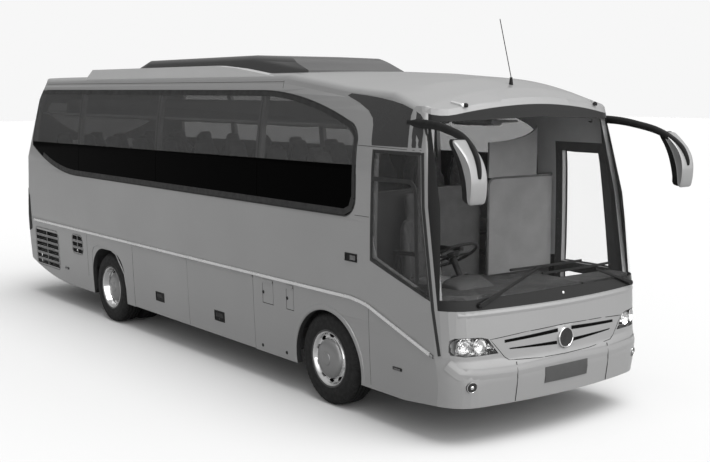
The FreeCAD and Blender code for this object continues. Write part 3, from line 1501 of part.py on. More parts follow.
def build():
    os.makedirs("parts", exist_ok=True)
    roof, skin, shell, rebate, lower, cell = make_body()
    band, hole = window_rooms()
    level, nose = roof_form(-seat_gap)
    write("roof_shell", roof)
    belt = belt_moulding(side_form(-belt_proud).common(plan_form(-belt_proud)), lower)
    belt = belt.cut(screen_zone(-seat_gap)).cut(mask_zone(skirt_z - overrun, scuttle_z + seat_gap))
    write("side_wall_right", make_side_wall(-1, shell, rebate, band, hole, belt))
    write("side_wall_left", make_side_wall(1, shell, rebate, band, hole, belt))
    write("side_glass", make_side_glass(skin, band))
    write("windscreen", skin.common(screen_zone(seat_gap)))
    write("entrance_door", make_door(shell))
    for name, side, x0, x1, z0, z1 in flap_list():
        write(name, make_flap(shell, side, x0, x1, z0, z1))
    write("front_panel", make_front_panel(shell))
    write("front_bumper", make_bumper(shell))
    write("front_lamps", make_front_lamps(shell))
    write("front_grille", make_grille(shell))
    write("rear_wall", make_rear_wall(shell, rebate, lower))
    write("rear_window", skin.common(tail_zone(0)).common(rear_window_prism(seat_gap)))
    write("engine_lid", make_engine_lid(shell, lower))
    write("tail_lamps", shell.common(tail_lamp_rooms(seat_gap)))
    write("roof_fairings", make_roof_fairings(level))
    write("air_conditioner", make_unit(level))
    write("aerial", make_aerial(nose))
    outside = side_form(-seat_gap).common(plan_form(-seat_gap)).common(nose)
    write("mirrors", make_mirrors(outside))
    write("wipers", Part.makeCompound(make_wipers(lower)))
    deck = make_deck()
    write("cabin_floor", deck)
    write("entrance_steps", make_entrance_steps(deck))
    write("luggage_hold", make_hold())
    write("underframe", make_underframe())
    write("wheel_housings", make_housings())
    write("front_axle", make_front_axle())
    write("knuckle_right", make_knuckle())
    write("knuckle_left", flipped(make_knuckle()))
    for place, tyre, rim in (("front", make_tyres(0, (wheel_outer_y,)), make_front_rim()),
                             ("rear", make_tyres(-wheelbase, (wheel_outer_y, wheel_outer_y - twin_pitch)),
                              make_rear_rims())):
        write(place + "_tyre_left", tyre)
        write(place + "_rim_left", rim)
        write(place + "_tyre_right", flipped(tyre))
        write(place + "_rim_right", flipped(rim))
    write("rear_axle", make_rear_axle())
    write("air_springs", make_bellows())
    write("engine", make_engine())
    write("fuel_tank", flipped(make_tanks()))
    write("battery_box", make_tanks())
    write("passenger_seats", make_seats())
    write("luggage_racks", make_racks())
    write("driver_screen", make_screen_wall())
    write("dashboard", make_dashboard())
    write("driver_seat", make_driver_seat())
    write("steering_wheel", make_steering_wheel())
    write("steering_column", make_column(column_radius))


build()
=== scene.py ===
import bpy
import bmesh
import math
from mathutils import Matrix, Vector
from mathutils.bvhtree import BVHTree
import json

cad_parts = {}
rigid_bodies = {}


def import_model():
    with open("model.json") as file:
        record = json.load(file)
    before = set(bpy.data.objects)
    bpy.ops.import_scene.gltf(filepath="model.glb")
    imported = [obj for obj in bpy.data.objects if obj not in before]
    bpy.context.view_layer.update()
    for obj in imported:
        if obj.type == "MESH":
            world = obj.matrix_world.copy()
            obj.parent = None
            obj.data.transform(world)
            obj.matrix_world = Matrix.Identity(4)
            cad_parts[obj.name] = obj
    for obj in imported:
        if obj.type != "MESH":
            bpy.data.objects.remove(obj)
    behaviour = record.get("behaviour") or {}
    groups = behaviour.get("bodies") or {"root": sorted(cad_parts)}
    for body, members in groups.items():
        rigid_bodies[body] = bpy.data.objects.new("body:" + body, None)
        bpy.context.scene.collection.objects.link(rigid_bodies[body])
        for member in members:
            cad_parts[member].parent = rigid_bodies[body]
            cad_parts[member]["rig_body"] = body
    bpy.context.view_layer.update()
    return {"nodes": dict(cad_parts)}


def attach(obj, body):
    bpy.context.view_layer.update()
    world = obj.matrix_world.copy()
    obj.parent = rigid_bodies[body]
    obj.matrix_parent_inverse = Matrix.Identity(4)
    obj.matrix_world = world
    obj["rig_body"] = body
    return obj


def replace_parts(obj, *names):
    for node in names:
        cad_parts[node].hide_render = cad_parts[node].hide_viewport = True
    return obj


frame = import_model()
nodes = frame["nodes"]

# Camera and studio.
# A pale sweep under soft light from the front and above, with the long side left in the softer light.
# The camera stands where the picture was taken from, off the front right corner.
def in_scene(name, data):
    """New object for this data, linked to the scene."""
    thing = bpy.data.objects.new(name, data)
    bpy.context.scene.collection.objects.link(thing)
    return thing


yaw = 0.6521
pitch = 0.128
view = Vector((-math.cos(yaw) * math.cos(pitch), math.sin(yaw) * math.cos(pitch), -math.sin(pitch)))
lens = bpy.data.cameras.new("camera")
lens.lens = 55.6
lens.sensor_width = 36.0
lens.clip_end = 400.0
eye = in_scene("camera", lens)
eye.location = (10.683, -6.9425, 2.8848)
eye.rotation_euler = view.to_track_quat("-Z", "Y").to_euler()
bpy.context.scene.camera = eye
bpy.context.scene.view_settings.view_transform = "Standard"


def link(tree, start, end):
    tree.links.new(start, end)


def grey(tone):
    return (tone, tone, tone, 1)


def set_values(node, values):
    """Plain values for a node's inputs, by their names with underscores."""
    for socket, value in values.items():
        node.inputs[socket.replace("_", " ")].default_value = value
    return node


def added(tree, kind, **values):
    """New node with plain values on its inputs."""
    return set_values(tree.nodes.new(kind), values)


def ramp(tree, source, low, high, to_low, to_high):
    """A value carried from one range to another, held at its ends."""
    node = added(tree, "ShaderNodeMapRange", From_Min=low, From_Max=high, To_Min=to_low, To_Max=to_high)
    link(tree, source, node.inputs["Value"])
    return node.outputs["Result"]


def sums(tree, kind, first, second):
    """Math on two sockets, or on a socket and a number."""
    node = tree.nodes.new("ShaderNodeMath")
    node.operation = kind
    link(tree, first, node.inputs[0])
    if isinstance(second, (int, float)):
        node.inputs[1].default_value = second
    else:
        link(tree, second, node.inputs[1])
    return node.outputs[0]


def blank_material(name):
    """New material with its node tree and its Principled shader."""
    mat = bpy.data.materials.new(name)
    mat.use_nodes = True
    return mat, mat.node_tree, mat.node_tree.nodes["Principled BSDF"]


studio = bpy.data.worlds.new("studio")
studio.use_nodes = True
bpy.context.scene.world = studio
tree = studio.node_tree
tree.nodes.clear()
place = tree.nodes.new("ShaderNodeTexCoord")
parts = tree.nodes.new("ShaderNodeSeparateXYZ")
link(tree, place.outputs["Generated"], parts.inputs[0])
total = ramp(tree, parts.outputs["Z"], -0.1, 0.8, 0.20, 0.62)
for way, gain in (("X", 2.5), ("Y", 0.15)):
    total = sums(tree, "ADD", total, ramp(tree, parts.outputs[way], 0.2, 1.0, 0.0, gain))
soft = added(tree, "ShaderNodeBackground", Color=grey(1))
link(tree, total, soft.inputs["Strength"])
pale = added(tree, "ShaderNodeBackground", Color=grey(1), Strength=0.93)
ray = tree.nodes.new("ShaderNodeLightPath")
choice = tree.nodes.new("ShaderNodeMixShader")
link(tree, ray.outputs["Is Camera Ray"], choice.inputs["Fac"])
link(tree, soft.outputs[0], choice.inputs[1])
link(tree, pale.outputs[0], choice.inputs[2])
end = tree.nodes.new("ShaderNodeOutputWorld")
link(tree, choice.outputs[0], end.inputs["Surface"])

sweep = bpy.data.meshes.new("floor")
reach = 90
sweep.from_pydata([(-reach, -reach, 0), (reach, -reach, 0), (reach, reach, 0), (-reach, reach, 0)], [],
                  [(0, 1, 2, 3)])
floor = in_scene("floor", sweep)
chalk, tree, shader = blank_material("studio_floor")
set_values(shader, {"Roughness": 1.0, "Specular_IOR_Level": 0.0})
below = tree.nodes.new("ShaderNodeNewGeometry")
link(tree, ramp(tree, below.outputs["Backfacing"], 0.0, 1.0, 1.0, 0.0), shader.inputs["Alpha"])
ray = tree.nodes.new("ShaderNodeLightPath")
link(tree, ramp(tree, ray.outputs["Is Camera Ray"], 0.0, 1.0, 0.38, 0.58), shader.inputs["Base Color"])
sweep.materials.append(chalk)

sun = bpy.data.lights.new("high_light", "SUN")
sun.energy = 2.6
sun.angle = 0.8
high = in_scene("high_light", sun)
high.rotation_euler = Vector((0.30, 0.06, 0.98)).to_track_quat("Z", "Y").to_euler()


# Painted body panels.
# Steel and moulded panels over a welded frame, sprayed silver grey with a clear coat.
# Each panel is bolted or bonded to its neighbours with a narrow gap left between them.
def effect_group(name, inputs):
    """Start of a shared effect that puts out colour, roughness and normal: its group, ends and Object place."""
    group = bpy.data.node_groups.new(name, "ShaderNodeTree")
    for socket, value in inputs.items():
        kind = "NodeSocketFloat" if isinstance(value, float) else "NodeSocketColor"
        group.interface.new_socket(socket, in_out="INPUT", socket_type=kind).default_value = value
    for socket, kind in (("Colour", "Color"), ("Roughness", "Float"), ("Normal", "Vector")):
        group.interface.new_socket(socket, in_out="OUTPUT", socket_type="NodeSocket" + kind)
    where = group.nodes.new("ShaderNodeTexCoord")
    return group, group.nodes.new("NodeGroupInput"), group.nodes.new("NodeGroupOutput"), where.outputs["Object"]


def end_effect(group, given, out, share, height, bump):
    """The effect's colour, mixed of the two given ones, and its normal, raised by a height."""
    blend = group.nodes.new("ShaderNodeMix")
    blend.data_type = "RGBA"
    link(group, share, blend.inputs["Factor"])
    link(group, given.outputs["Colour"], blend.inputs["A"])
    link(group, given.outputs["Second Colour"], blend.inputs["B"])
    link(group, blend.outputs["Result"], out.inputs["Colour"])
    link(group, height, bump.inputs["Height"])
    link(group, bump.outputs["Normal"], out.inputs["Normal"])


uneven_surface, given, out, where = effect_group("uneven_surface", {
    "Scale": 3.0, "Fine Scale": 200.0, "Colour": grey(0.5), "Second Colour": grey(0.4), "Rough Low": 0.3,
    "Rough High": 0.5, "Bump": 0.1, "Depth": 0.001})
slow = added(uneven_surface, "ShaderNodeTexNoise", Detail=5.0)
fine = added(uneven_surface, "ShaderNodeTexNoise", Detail=2.0)
for noise, socket in ((slow, "Scale"), (fine, "Fine Scale")):
    link(uneven_surface, where, noise.inputs["Vector"])
    link(uneven_surface, given.outputs[socket], noise.inputs["Scale"])
spread = ramp(uneven_surface, slow.outputs["Fac"], 0.3, 0.7, 0.0, 1.0)
rough = uneven_surface.nodes.new("ShaderNodeMapRange")
bump = uneven_surface.nodes.new("ShaderNodeBump")
for socket, end in (("Rough Low", rough.inputs["To Min"]), ("Rough High", rough.inputs["To Max"]),
                    ("Bump", bump.inputs["Strength"]), ("Depth", bump.inputs["Distance"])):
    link(uneven_surface, given.outputs[socket], end)
link(uneven_surface, spread, rough.inputs["Value"])
link(uneven_surface, rough.outputs["Result"], out.inputs["Roughness"])
end_effect(uneven_surface, given, out, spread, fine.outputs["Fac"], bump)


def effect_material(name, effect, values, plain):
    """A Principled material fed by a shared effect, with its plain values on its own sockets."""
    mat, tree, shader = blank_material(name)
    group = tree.nodes.new("ShaderNodeGroup")
    group.node_tree = effect
    set_values(group, values)
    for output, socket in (("Colour", "Base Color"), ("Roughness", "Roughness"), ("Normal", "Normal")):
        link(tree, group.outputs[output], shader.inputs[socket])
    set_values(shader, plain)
    return mat


def finish_material(name, colour, second, rough, scale=3.0, fine=300.0, bump=0.1, depth=0.001, **plain):
    """A hard finish: two greys in slow clouds, with fine grain in its normal."""
    return effect_material(name, uneven_surface, {
        "Colour": grey(colour), "Second_Colour": grey(second), "Rough_Low": rough[0], "Rough_High": rough[1],
        "Scale": scale, "Fine_Scale": fine, "Bump": bump, "Depth": depth}, plain)


front_axle = 2707.5


def ahead(x):
    """Place in metres along the coach of a length in millimetres ahead of the front axle."""
    return (x + front_axle) / 1000


def at(x, y, z):
    """Place in metres of a point given in millimetres from the front axle's middle on the ground."""
    return Vector((ahead(x), y / 1000, z / 1000))


def place_mesh(name, mesh, mats, body):
    """Link a finished mesh as a piece that rides on a body."""
    piece = in_scene(name, mesh)
    for mat in mats:
        mesh.materials.append(mat)
    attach(piece, body)
    return piece


def dressed(node, mats, angle=28.0, choose=None, cuts=()):
    """Smooth-shaded copy of a CAD node's mesh that stands for it, cut along planes where paint changes."""
    source = nodes[node]
    mesh = source.data.copy()
    mesh.materials.clear()
    form = bmesh.new()
    form.from_mesh(mesh)
    bmesh.ops.remove_doubles(form, verts=form.verts, dist=0.00002)
    for spot, way in cuts:
        bmesh.ops.bisect_plane(form, geom=form.verts[:] + form.edges[:] + form.faces[:], dist=0.00001,
                               plane_co=spot, plane_no=way)
    for side in form.faces:
        side.smooth = True
        if choose:
            side.material_index = choose(side.calc_center_median(), side.normal)
    form.to_mesh(mesh)
    form.free()
    mesh.set_sharp_from_angle(angle=math.radians(angle))
    piece = place_mesh(node + "_finish", mesh, mats, source["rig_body"])
    even = piece.modifiers.new("even_shading", "WEIGHTED_NORMAL")
    even.keep_sharp = True
    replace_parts(piece, node)
    return piece


forward = Vector((1, 0, 0))
leftward = Vector((0, 1, 0))
upward = Vector((0, 0, 1))
trim_start = 3.95
trim_top = 2.62
coat_top = 1.14


def cabin_side(place, normal):
    """0 for the painted faces of the shell, 1 for its lining, 2 for trim by the windscreen and 3 for coated insides."""
    middle = Vector((min(max(place.x, -3.9), 3.4), 0, 1.95))
    away = (place - middle).normalized()
    if place.z < coat_top:
        out = normal.y * math.copysign(1, place.y)
        if abs(place.x) > 4.3:
            out = max(out, normal.x * math.copysign(1, place.x))
        return 3 if out < 0.3 and abs(place.y) > 1.0 else 0
    if normal.dot(away) > -0.2:
        return 0
    return 2 if place.x > trim_start and place.z < trim_top else 1


silver = finish_material("silver_paint", 0.27, 0.25, (0.34, 0.40), scale=0.7, fine=900.0, bump=0.03,
                         depth=0.0004, Metallic=0.25, Coat_Weight=0.45, Coat_Roughness=0.10)
door_trim = finish_material("door_trim", 0.035, 0.028, (0.6, 0.8), scale=6.0, fine=350.0, bump=0.25)
under_coat = finish_material("under_coat", 0.014, 0.009, (0.75, 0.95), scale=9.0, fine=220.0, bump=0.6, depth=0.002)
lining = finish_material("cabin_lining", 0.34, 0.30, (0.7, 0.9), scale=5.0, fine=400.0, bump=0.2)
for node in ("side_wall_right", "side_wall_left", "roof_shell", "rear_wall", "front_panel"):
    dressed(node, [silver, lining, door_trim, under_coat] if "wall" in node else [silver, lining, door_trim, silver],
            choose=cabin_side,
            cuts=((Vector((trim_start, 0, 0)), forward), (Vector((0, 0, trim_top)), upward)))
dressed("entrance_door", [silver, door_trim], choose=lambda place, normal: 1 if normal.y < -0.3 else 0)
flaps = ["fuel_flap", "filler_flap", "luggage_flap_rear_right", "luggage_flap_front_right",
         "luggage_flap_rear_left", "luggage_flap_front_left"]
for node in ["front_bumper", "engine_lid"] + flaps:
    dressed(node, [silver])
# The roof fairings take a lighter copy of the body's silver: painted light for the strong light from above on their
# leaning sides.
fairing_silver_painted_light = finish_material("fairing_paint_painted_light", 0.52, 0.49, (0.30, 0.36), scale=1.2, fine=800.0, bump=0.03,
                                 depth=0.0005, Metallic=0.15, Coat_Weight=0.4, Coat_Roughness=0.10)
dressed("roof_fairings", [fairing_silver_painted_light])
# The air conditioner takes a much darker grey than the body: painted shade for its top and sides, which stand in shade.
unit_grey_painted_shade = finish_material("roof_unit_paint_painted_shade", 0.055, 0.047, (0.36, 0.44), scale=1.2, fine=800.0, bump=0.04,
                            depth=0.0005, Metallic=0.2, Coat_Weight=0.3, Coat_Roughness=0.12)
dressed("air_conditioner", [unit_grey_painted_shade])


# Panel joints and wheel arch lips.
# The skin is made in sheets whose edges meet over the frame in narrow sealed joints.
# A pressed lip, sprayed with the body, stiffens the edge of each wheel arch.
def finished(name, form):
    """Mesh of finished mesh work, with its normals turned outward."""
    bmesh.ops.recalc_face_normals(form, faces=form.faces)
    mesh = bpy.data.meshes.new(name)
    form.to_mesh(mesh)
    form.free()
    return mesh


def made(name, form, mats, body, angle=32.0, stands_for=None):
    """Turn finished mesh work into a smooth-shaded piece, which stands for a CAD node where one is named."""
    mesh = finished(name, form)
    mesh.shade_smooth()
    mesh.set_sharp_from_angle(angle=math.radians(angle))
    piece = place_mesh(name, mesh, mats, body)
    if stands_for:
        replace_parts(piece, stands_for)
    return piece


skin_points = []
skin_faces = []
for node in ["side_wall_right", "side_wall_left", "side_glass", "windscreen", "roof_shell", "rear_wall",
             "rear_window", "front_panel", "front_bumper", "front_lamps", "front_grille", "engine_lid",
             "entrance_door", "tail_lamps"] + flaps:
    first = len(skin_points)
    skin_points += [corner.co.copy() for corner in nodes[node].data.vertices]
    skin_faces += [[first + i for i in side.vertices] for side in nodes[node].data.polygons]
skin = BVHTree.FromPolygons(skin_points, skin_faces)


def on_skin(side, a, b):
    """Point of the body's outer skin and its normal, looked at from one side.

    From right and left the place is X and Z, from front and rear Y and Z, and from the top X and Y."""
    way, reach = {"right": (leftward, 7.2), "left": (-leftward, 7.2), "front": (-forward, 4.6),
                  "rear": (forward, 4.2), "top": (-upward, 5.7)}[side]
    hits = []
    for da, db in ((0, 0), (0.012, 0), (-0.012, 0), (0, 0.012), (0, -0.012)):
        if side in ("right", "left"):
            start = Vector((a + da, 0, b + db))
        elif side == "top":
            start = Vector((a + da, b + db, 0))
        else:
            start = Vector((0, a + da, b + db))
        spot, normal, index, far = skin.ray_cast(start - way * 8, way, reach)
        if spot:
            hits.append((far, normal if normal.dot(way) < 0 else -normal, start - way * (8 - far)))
    if not hits:
        return None
    nearest = min(hits, key=lambda hit: hit[0])
    found = hits[0] if hits[0][0] < nearest[0] + 0.015 else nearest
    middle = {"right": Vector((a, found[2].y, b)), "left": Vector((a, found[2].y, b)),
              "top": Vector((a, b, found[2].z))}.get(side, Vector((found[2].x, a, b)))
    return middle, found[1]


def lofted(form, places, mat=0, around=False):
    """Form through rings of places of equal count, with the ends closed unless the rings run all the way round."""
    rings = [[form.verts.new(spot) for spot in ring] for ring in places]
    for a, b in list(zip(rings, rings[1:])) + ([(rings[-1], rings[0])] if around else []):
        for i in range(len(a)):
            j = (i + 1) % len(a)
            form.faces.new((a[i], a[j], b[j], b[i])).material_index = mat
    if not around:
        form.faces.new(rings[0][::-1]).material_index = mat
        form.faces.new(rings[-1]).material_index = mat


def laid_strip(form, path, side, wide, low, high, mat=0, around=False, step=0.08, soft=False):
    """Strip of trim laid on the skin along a path of places in metres, with its edges rounded off."""
    runs = list(zip(path, path[1:])) + ([(path[-1], path[0])] if around else [])
    spots = []
    for (a0, b0), (a1, b1) in runs:
        count = max(1, math.ceil(math.hypot(a1 - a0, b1 - b0) / step))
        spots += [on_skin(side, a0 + (a1 - a0) * i / count, b0 + (b1 - b0) * i / count) for i in range(count)]
    if not around:
        spots.append(on_skin(side, *path[-1]))
    spots = [spot for spot in spots if spot]
    edge, shoulder, drop = (0.1, 0.55, 0.25) if soft else (0.6, 0.86, 0.8)
    section = ((-1, low), (-shoulder, high * drop), (-edge, high), (edge, high), (shoulder, high * drop), (1, low))
    rings = []
    for i, (spot, normal) in enumerate(spots):
        before = spots[i - 1][0] if i or around else spot
        after = spots[(i + 1) % len(spots)][0] if i + 1 < len(spots) or around else spot
        across = (after - before).cross(normal).normalized() * (wide / 2)
        rings.append([spot + across * share + normal * height for share, height in section])
    lofted(form, rings, mat, around)


def laid_panel(form, outline, side, low, high, mat=0, cell=0.16):
    """Closed panel with this outline, laid on the skin between two heights above it."""
    flat = bmesh.new()
    flat.faces.new([flat.verts.new((a, b, 0)) for a, b in outline])
    for axis in (0, 1):
        values = [corner[axis] for corner in outline]
        count = math.floor((max(values) - min(values)) / cell)
        for i in range(1, count + 1):
            spot = Vector((0, 0, 0))
            spot[axis] = min(values) + (max(values) - min(values)) * i / (count + 1)
            way = Vector((0, 0, 0))
            way[axis] = 1
            bmesh.ops.bisect_plane(flat, geom=flat.verts[:] + flat.edges[:] + flat.faces[:], dist=0.00001,
                                   plane_co=spot, plane_no=way)
    bmesh.ops.triangulate(flat, faces=flat.faces)
    pairs = {}
    for corner in flat.verts:
        spot, normal = on_skin(side, corner.co.x, corner.co.y)
        pairs[corner] = (form.verts.new(spot + normal * low), form.verts.new(spot + normal * high))
    for face in flat.faces:
        form.faces.new([pairs[corner][1] for corner in face.verts]).material_index = mat
        form.faces.new([pairs[corner][0] for corner in reversed(face.verts)]).material_index = mat
    for edge in flat.edges:
        if len(edge.link_faces) == 1:
            a, b = edge.verts
            form.faces.new((pairs[a][0], pairs[b][0], pairs[b][1], pairs[a][1])).material_index = mat
    flat.free()


def side_path(*points):
    """Places on the side in metres, from millimetres ahead of the front axle and above the ground."""
    return [(ahead(x), z / 1000) for x, z in points]


def oblong(a0, a1, b0, b1):
    return [(a0, b0), (a1, b0), (a1, b1), (a0, b1)]


def arc_through(a, b, c, count):
    """Places along the arc through three places, without the last one."""
    d = 2 * (a[0] * (b[1] - c[1]) + b[0] * (c[1] - a[1]) + c[0] * (a[1] - b[1]))
    s = [p[0] ** 2 + p[1] ** 2 for p in (a, b, c)]
    x = (s[0] * (b[1] - c[1]) + s[1] * (c[1] - a[1]) + s[2] * (a[1] - b[1])) / d
    z = (s[0] * (c[0] - b[0]) + s[1] * (a[0] - c[0]) + s[2] * (b[0] - a[0])) / d
    radius = math.hypot(a[0] - x, a[1] - z)
    start, middle, stop = (math.atan2(p[1] - z, p[0] - x) for p in (a, b, c))
    full = 2 * math.pi
    turn = (stop - start) % full
    if (middle - start) % full > turn:
        turn -= full
    return [(x + radius * math.cos(start + turn * i / count), z + radius * math.sin(start + turn * i / count))
            for i in range(count)]


joint_black = finish_material("joint_sealer", 0.012, 0.008, (0.6, 0.8), scale=20.0, fine=600.0, bump=0.2)
seams = bmesh.new()
for side in ("right", "left"):
    for path in (((-6900, 2962), (-820, 2962)), ((-820, 2900), (-820, 2975)), ((449, 2412), (1330, 2396)),
                 ((449, 1806), (648, 1806)), ((-5250, 500), (-5250, 1055))):
        laid_strip(seams, side_path(*path), side, 0.005, -0.001, 0.0008)
    laid_strip(seams, side_path((640, 330), (640, 1015)), side, 0.004, -0.001, 0.0008)
for y in (-0.563, 0.563):
    laid_strip(seams, [(y, 0.345), (y, 0.675)], "front", 0.005, -0.001, 0.0052)
made("panel_joints", seams, [joint_black], "coach")

lips = bmesh.new()
front_lip = [(533 * math.cos(math.radians(turn)), 385 + 533 * math.sin(math.radians(turn)))
             for turn in range(-8, 189, 7)]
rear_lip = [(-5122, 330), (-5122, 600), (-5105, 840), (-5050, 905), (-4970, 925), (-4560, 925), (-4400, 880),
            (-4270, 790), (-4190, 660), (-4152, 480), (-4152, 330)]
for side in ("right", "left"):
    laid_strip(lips, side_path(*front_lip), side, 0.046, -0.003, 0.006)
    laid_strip(lips, side_path(*rear_lip), side, 0.018, -0.003, 0.005)
made("arch_lips", lips, [silver], "coach")

# Nose pressings.
# A rolled ledge along the top of the bumper, and a rolled sill under the windscreen.
# Both are pressed in the moulded panels and sprayed with them.
pressings = bmesh.new()
ledge = [(-1.150, 0.700), (-1.085, 0.624), (-0.93, 0.607), (-0.60, 0.600), (0, 0.622), (0.60, 0.600), (0.93, 0.607),
         (1.085, 0.624), (1.150, 0.700)]
sill = [(-1.08, 1.092), (-0.6, 1.094), (0.6, 1.094), (1.08, 1.092)]
for run, wide, step in ((ledge, 0.100, 0.06), (sill, 0.060, 0.08)):
    laid_strip(pressings, run, "front", wide, -0.001, 0.0045, step=step, soft=True)
made("nose_pressings", pressings, [silver], "coach", angle=60)

# Belt moulding.
# A bright rolled strip along the waist, which runs down behind the nose on the right side.
# It is clipped over the painted rail.
bright = finish_material("bright_strip", 0.72, 0.66, (0.22, 0.30), scale=4.0, fine=500.0, bump=0.04,
                         depth=0.0004, Metallic=0.85)
belt = bmesh.new()
belt_path = side_path((-7005, 1072), (390, 1072), (548, 1054), (636, 1037), (1003, 909), (1440, 758))
for side in ("right", "left"):
    laid_strip(belt, belt_path if side == "right" else belt_path[:3], side, 0.034, -0.004, 0.0045, step=0.2)
made("belt_moulding", belt, [bright], "coach")

# Side windows, windscreen and rear window.
# Tinted safety glass bonded into the rebates of the side walls, door, nose and tail.
# A black printed border hides the bond, and the lower part of the side panes is printed black as well.
def glass_material(name, tint, clear, dark, shine=0.005, rough=0.04, print_tone=0.0012):
    """Tinted glass whose printed parts, given by a list of limits on place, are opaque black.

    Each limit is (axis, slope axis, slope, level, side): the print is where the place lies past the level."""
    mat, tree, shader = blank_material(name)
    where = tree.nodes.new("ShaderNodeTexCoord")
    parts = tree.nodes.new("ShaderNodeSeparateXYZ")
    link(tree, where.outputs["Object"], parts.inputs[0])
    places = {"X": parts.outputs["X"], "Z": parts.outputs["Z"]}
    wide = tree.nodes.new("ShaderNodeMath")
    wide.operation = "ABSOLUTE"
    link(tree, parts.outputs["Y"], wide.inputs[0])
    places["Y"] = wide.outputs[0]
    cloudy = added(tree, "ShaderNodeTexNoise", Scale=1.4)
    link(tree, where.outputs["Object"], cloudy.inputs["Vector"])
    mask = None
    for axis, slope_axis, slope, level, side in dark:
        along = sums(tree, "ADD", places[axis], sums(tree, "MULTIPLY", places[slope_axis], slope))
        past = ramp(tree, along, level - 0.001 * side, level + 0.001 * side, 0.0, 1.0)
        mask = past if mask is None else sums(tree, "MAXIMUM", mask, past)
    if mask is None:
        mask = ramp(tree, cloudy.outputs["Fac"], 2.0, 3.0, 0.0, 1.0)
    link(tree, ramp(tree, mask, 0.0, 1.0, clear, 1.0), shader.inputs["Alpha"])
    colour = tree.nodes.new("ShaderNodeMix")
    colour.data_type = "RGBA"
    set_values(colour, {"A": grey(tint), "B": grey(print_tone)})
    link(tree, mask, colour.inputs["Factor"])
    link(tree, colour.outputs["Result"], shader.inputs["Base Color"])
    link(tree, ramp(tree, cloudy.outputs["Fac"], 0.3, 0.7, rough, rough + 0.03), shader.inputs["Roughness"])
    shader.inputs["Specular IOR Level"].default_value = shine
    return mat


side_tint = glass_material("side_glass_tint", 0.085, 0.50, [("Z", "X", -0.009, 2.212, -1)])
door_tint = glass_material("door_glass_tint", 0.02, 0.02, [])
cab_tint = glass_material("cab_glass_tint", 0.05, 0.42, [])


def pane(place, normal):
    """0 for the saloon's panes, 1 for the entrance door's and 2 for the driver's window."""
    if place.x < 3.30:
        return 0
    return 1 if place.y > 0 else 2


dressed("side_glass", [side_tint, door_tint, cab_tint], choose=pane)
screen_tint = glass_material("windscreen_tint", 0.05, 0.05,
                             [("Z", "Y", 0.02, 1.235, -1), ("Z", "Y", 0.03, 2.66, 1), ("Y", "Z", 0.066, 1.250, 1)],
                             shine=0.10, print_tone=0.018)
dressed("windscreen", [screen_tint])
rear_tint = glass_material("rear_glass_tint", 0.05, 0.72, [("Z", "X", 0.0, 2.02, -1), ("Y", "Z", 0.0, 0.93, 1)])
dressed("rear_window", [rear_tint])

# Window gaskets.
# Extruded rubber pressed into the joint round each pane, a little proud of glass and paint.
# The sill of the saloon's windows carries a wide one, which reads as a grey line under the black print.
gasket = finish_material("gasket_rubber", 0.012, 0.008, (0.5, 0.7), scale=15.0, fine=700.0, bump=0.15)
band = (arc_through((-6790, 2879), (-6930, 2520), (-6985, 2125), 8)
        + arc_through((-6985, 2125), (-6148, 1850), (-5375, 1784), 10) + [(-5375, 1784), (-3200, 1784), (-1000, 1784)]
        + arc_through((294, 1784), (408, 1838), (452, 1948), 6) + [(452, 1948)]
        + arc_through((446, 2470), (408, 2556), (312, 2612), 6)
        + arc_through((312, 2612), (-270, 2778), (-1129, 2879), 12) + [(-1129, 2879), (-4000, 2879)])
seals = bmesh.new()
for side in ("right", "left"):
    laid_strip(seals, side_path(*band), side, 0.012, -0.002, 0.003, around=True, step=0.2)
    sill = [(x, z + 36) for x, z in arc_through((-6985, 2125), (-6148, 1850), (-5375, 1784), 8)[2:]]
    sill += [(-5375, 1820), (-2500, 1820), (290, 1820), (380, 1860), (418, 1950)]
    laid_strip(seals, side_path(*sill), side, 0.062, -0.002, 0.003, step=0.2)
    brow_run = [(418, 1950), (410, 2460)] + [(x - 26, z - 26) for x, z in
                                             arc_through((446, 2470), (408, 2556), (312, 2612), 5)]
    brow_run += [(x - 8, z - 28) for x, z in arc_through((312, 2612), (-270, 2778), (-1129, 2879), 10)]
    brow_run += [(-1129, 2851), (-6770, 2851)]
    laid_strip(seals, side_path(*brow_run), side, 0.046, -0.002, 0.0025, step=0.2)
    for x in (-5427, -3286, -1143):
        laid_strip(seals, side_path((x, 1850), (x, 2850)), side, 0.022, -0.004, 0.0015, step=0.2)
made("window_gaskets", seals, [gasket], "coach")

# Driver's window frame.
# A black steel frame carries a sliding pane in the lower part of the fixed window.
# Its corner is rounded, and the bottom edge follows the falling sill.
frames = bmesh.new()
slide_run = [(690, 2140), (1160, 2140)] + arc_through((1160, 2140), (1226, 2112), (1252, 2046), 5)
slide_run += [(1252, 2046), (1290, 1330)]
laid_strip(frames, side_path(*slide_run), "right", 0.040, -0.003, 0.006, step=0.15)
laid_strip(frames, side_path((684, 2370), (684, 1455), (1011, 1350), (1395, 1222)), "right", 0.022, -0.003,
           0.004, step=0.15)
laid_strip(frames, side_path((684, 2370), (1290, 2370)), "right", 0.020, -0.003, 0.004, step=0.15)
edge_x = [(z, 1520 - (z - 1128) * (1520 - 1262) / (2720 - 1128)) for z in (760, 1128, 1800, 2380)]
laid_strip(frames, side_path(*[(x - 42, z) for z, x in edge_x]), "right", 0.030, -0.003, 0.004, step=0.15)
door_run = [(640, 345), (1400, 345), (1400, 1128), (1316, 2390), (640, 2390)]
laid_strip(frames, side_path(*door_run), "left", 0.012, -0.004, 0.002, around=True, step=0.15)
for run in (oblong(725, 1315, 430, 1130),
            ((725, 1220), (1312, 1220), (1240, 2305), (725, 2305))):
    laid_strip(frames, side_path(*run), "left", 0.030, -0.003, 0.004, around=True, step=0.15)
made("cab_window_frames", frames, [gasket], "coach")

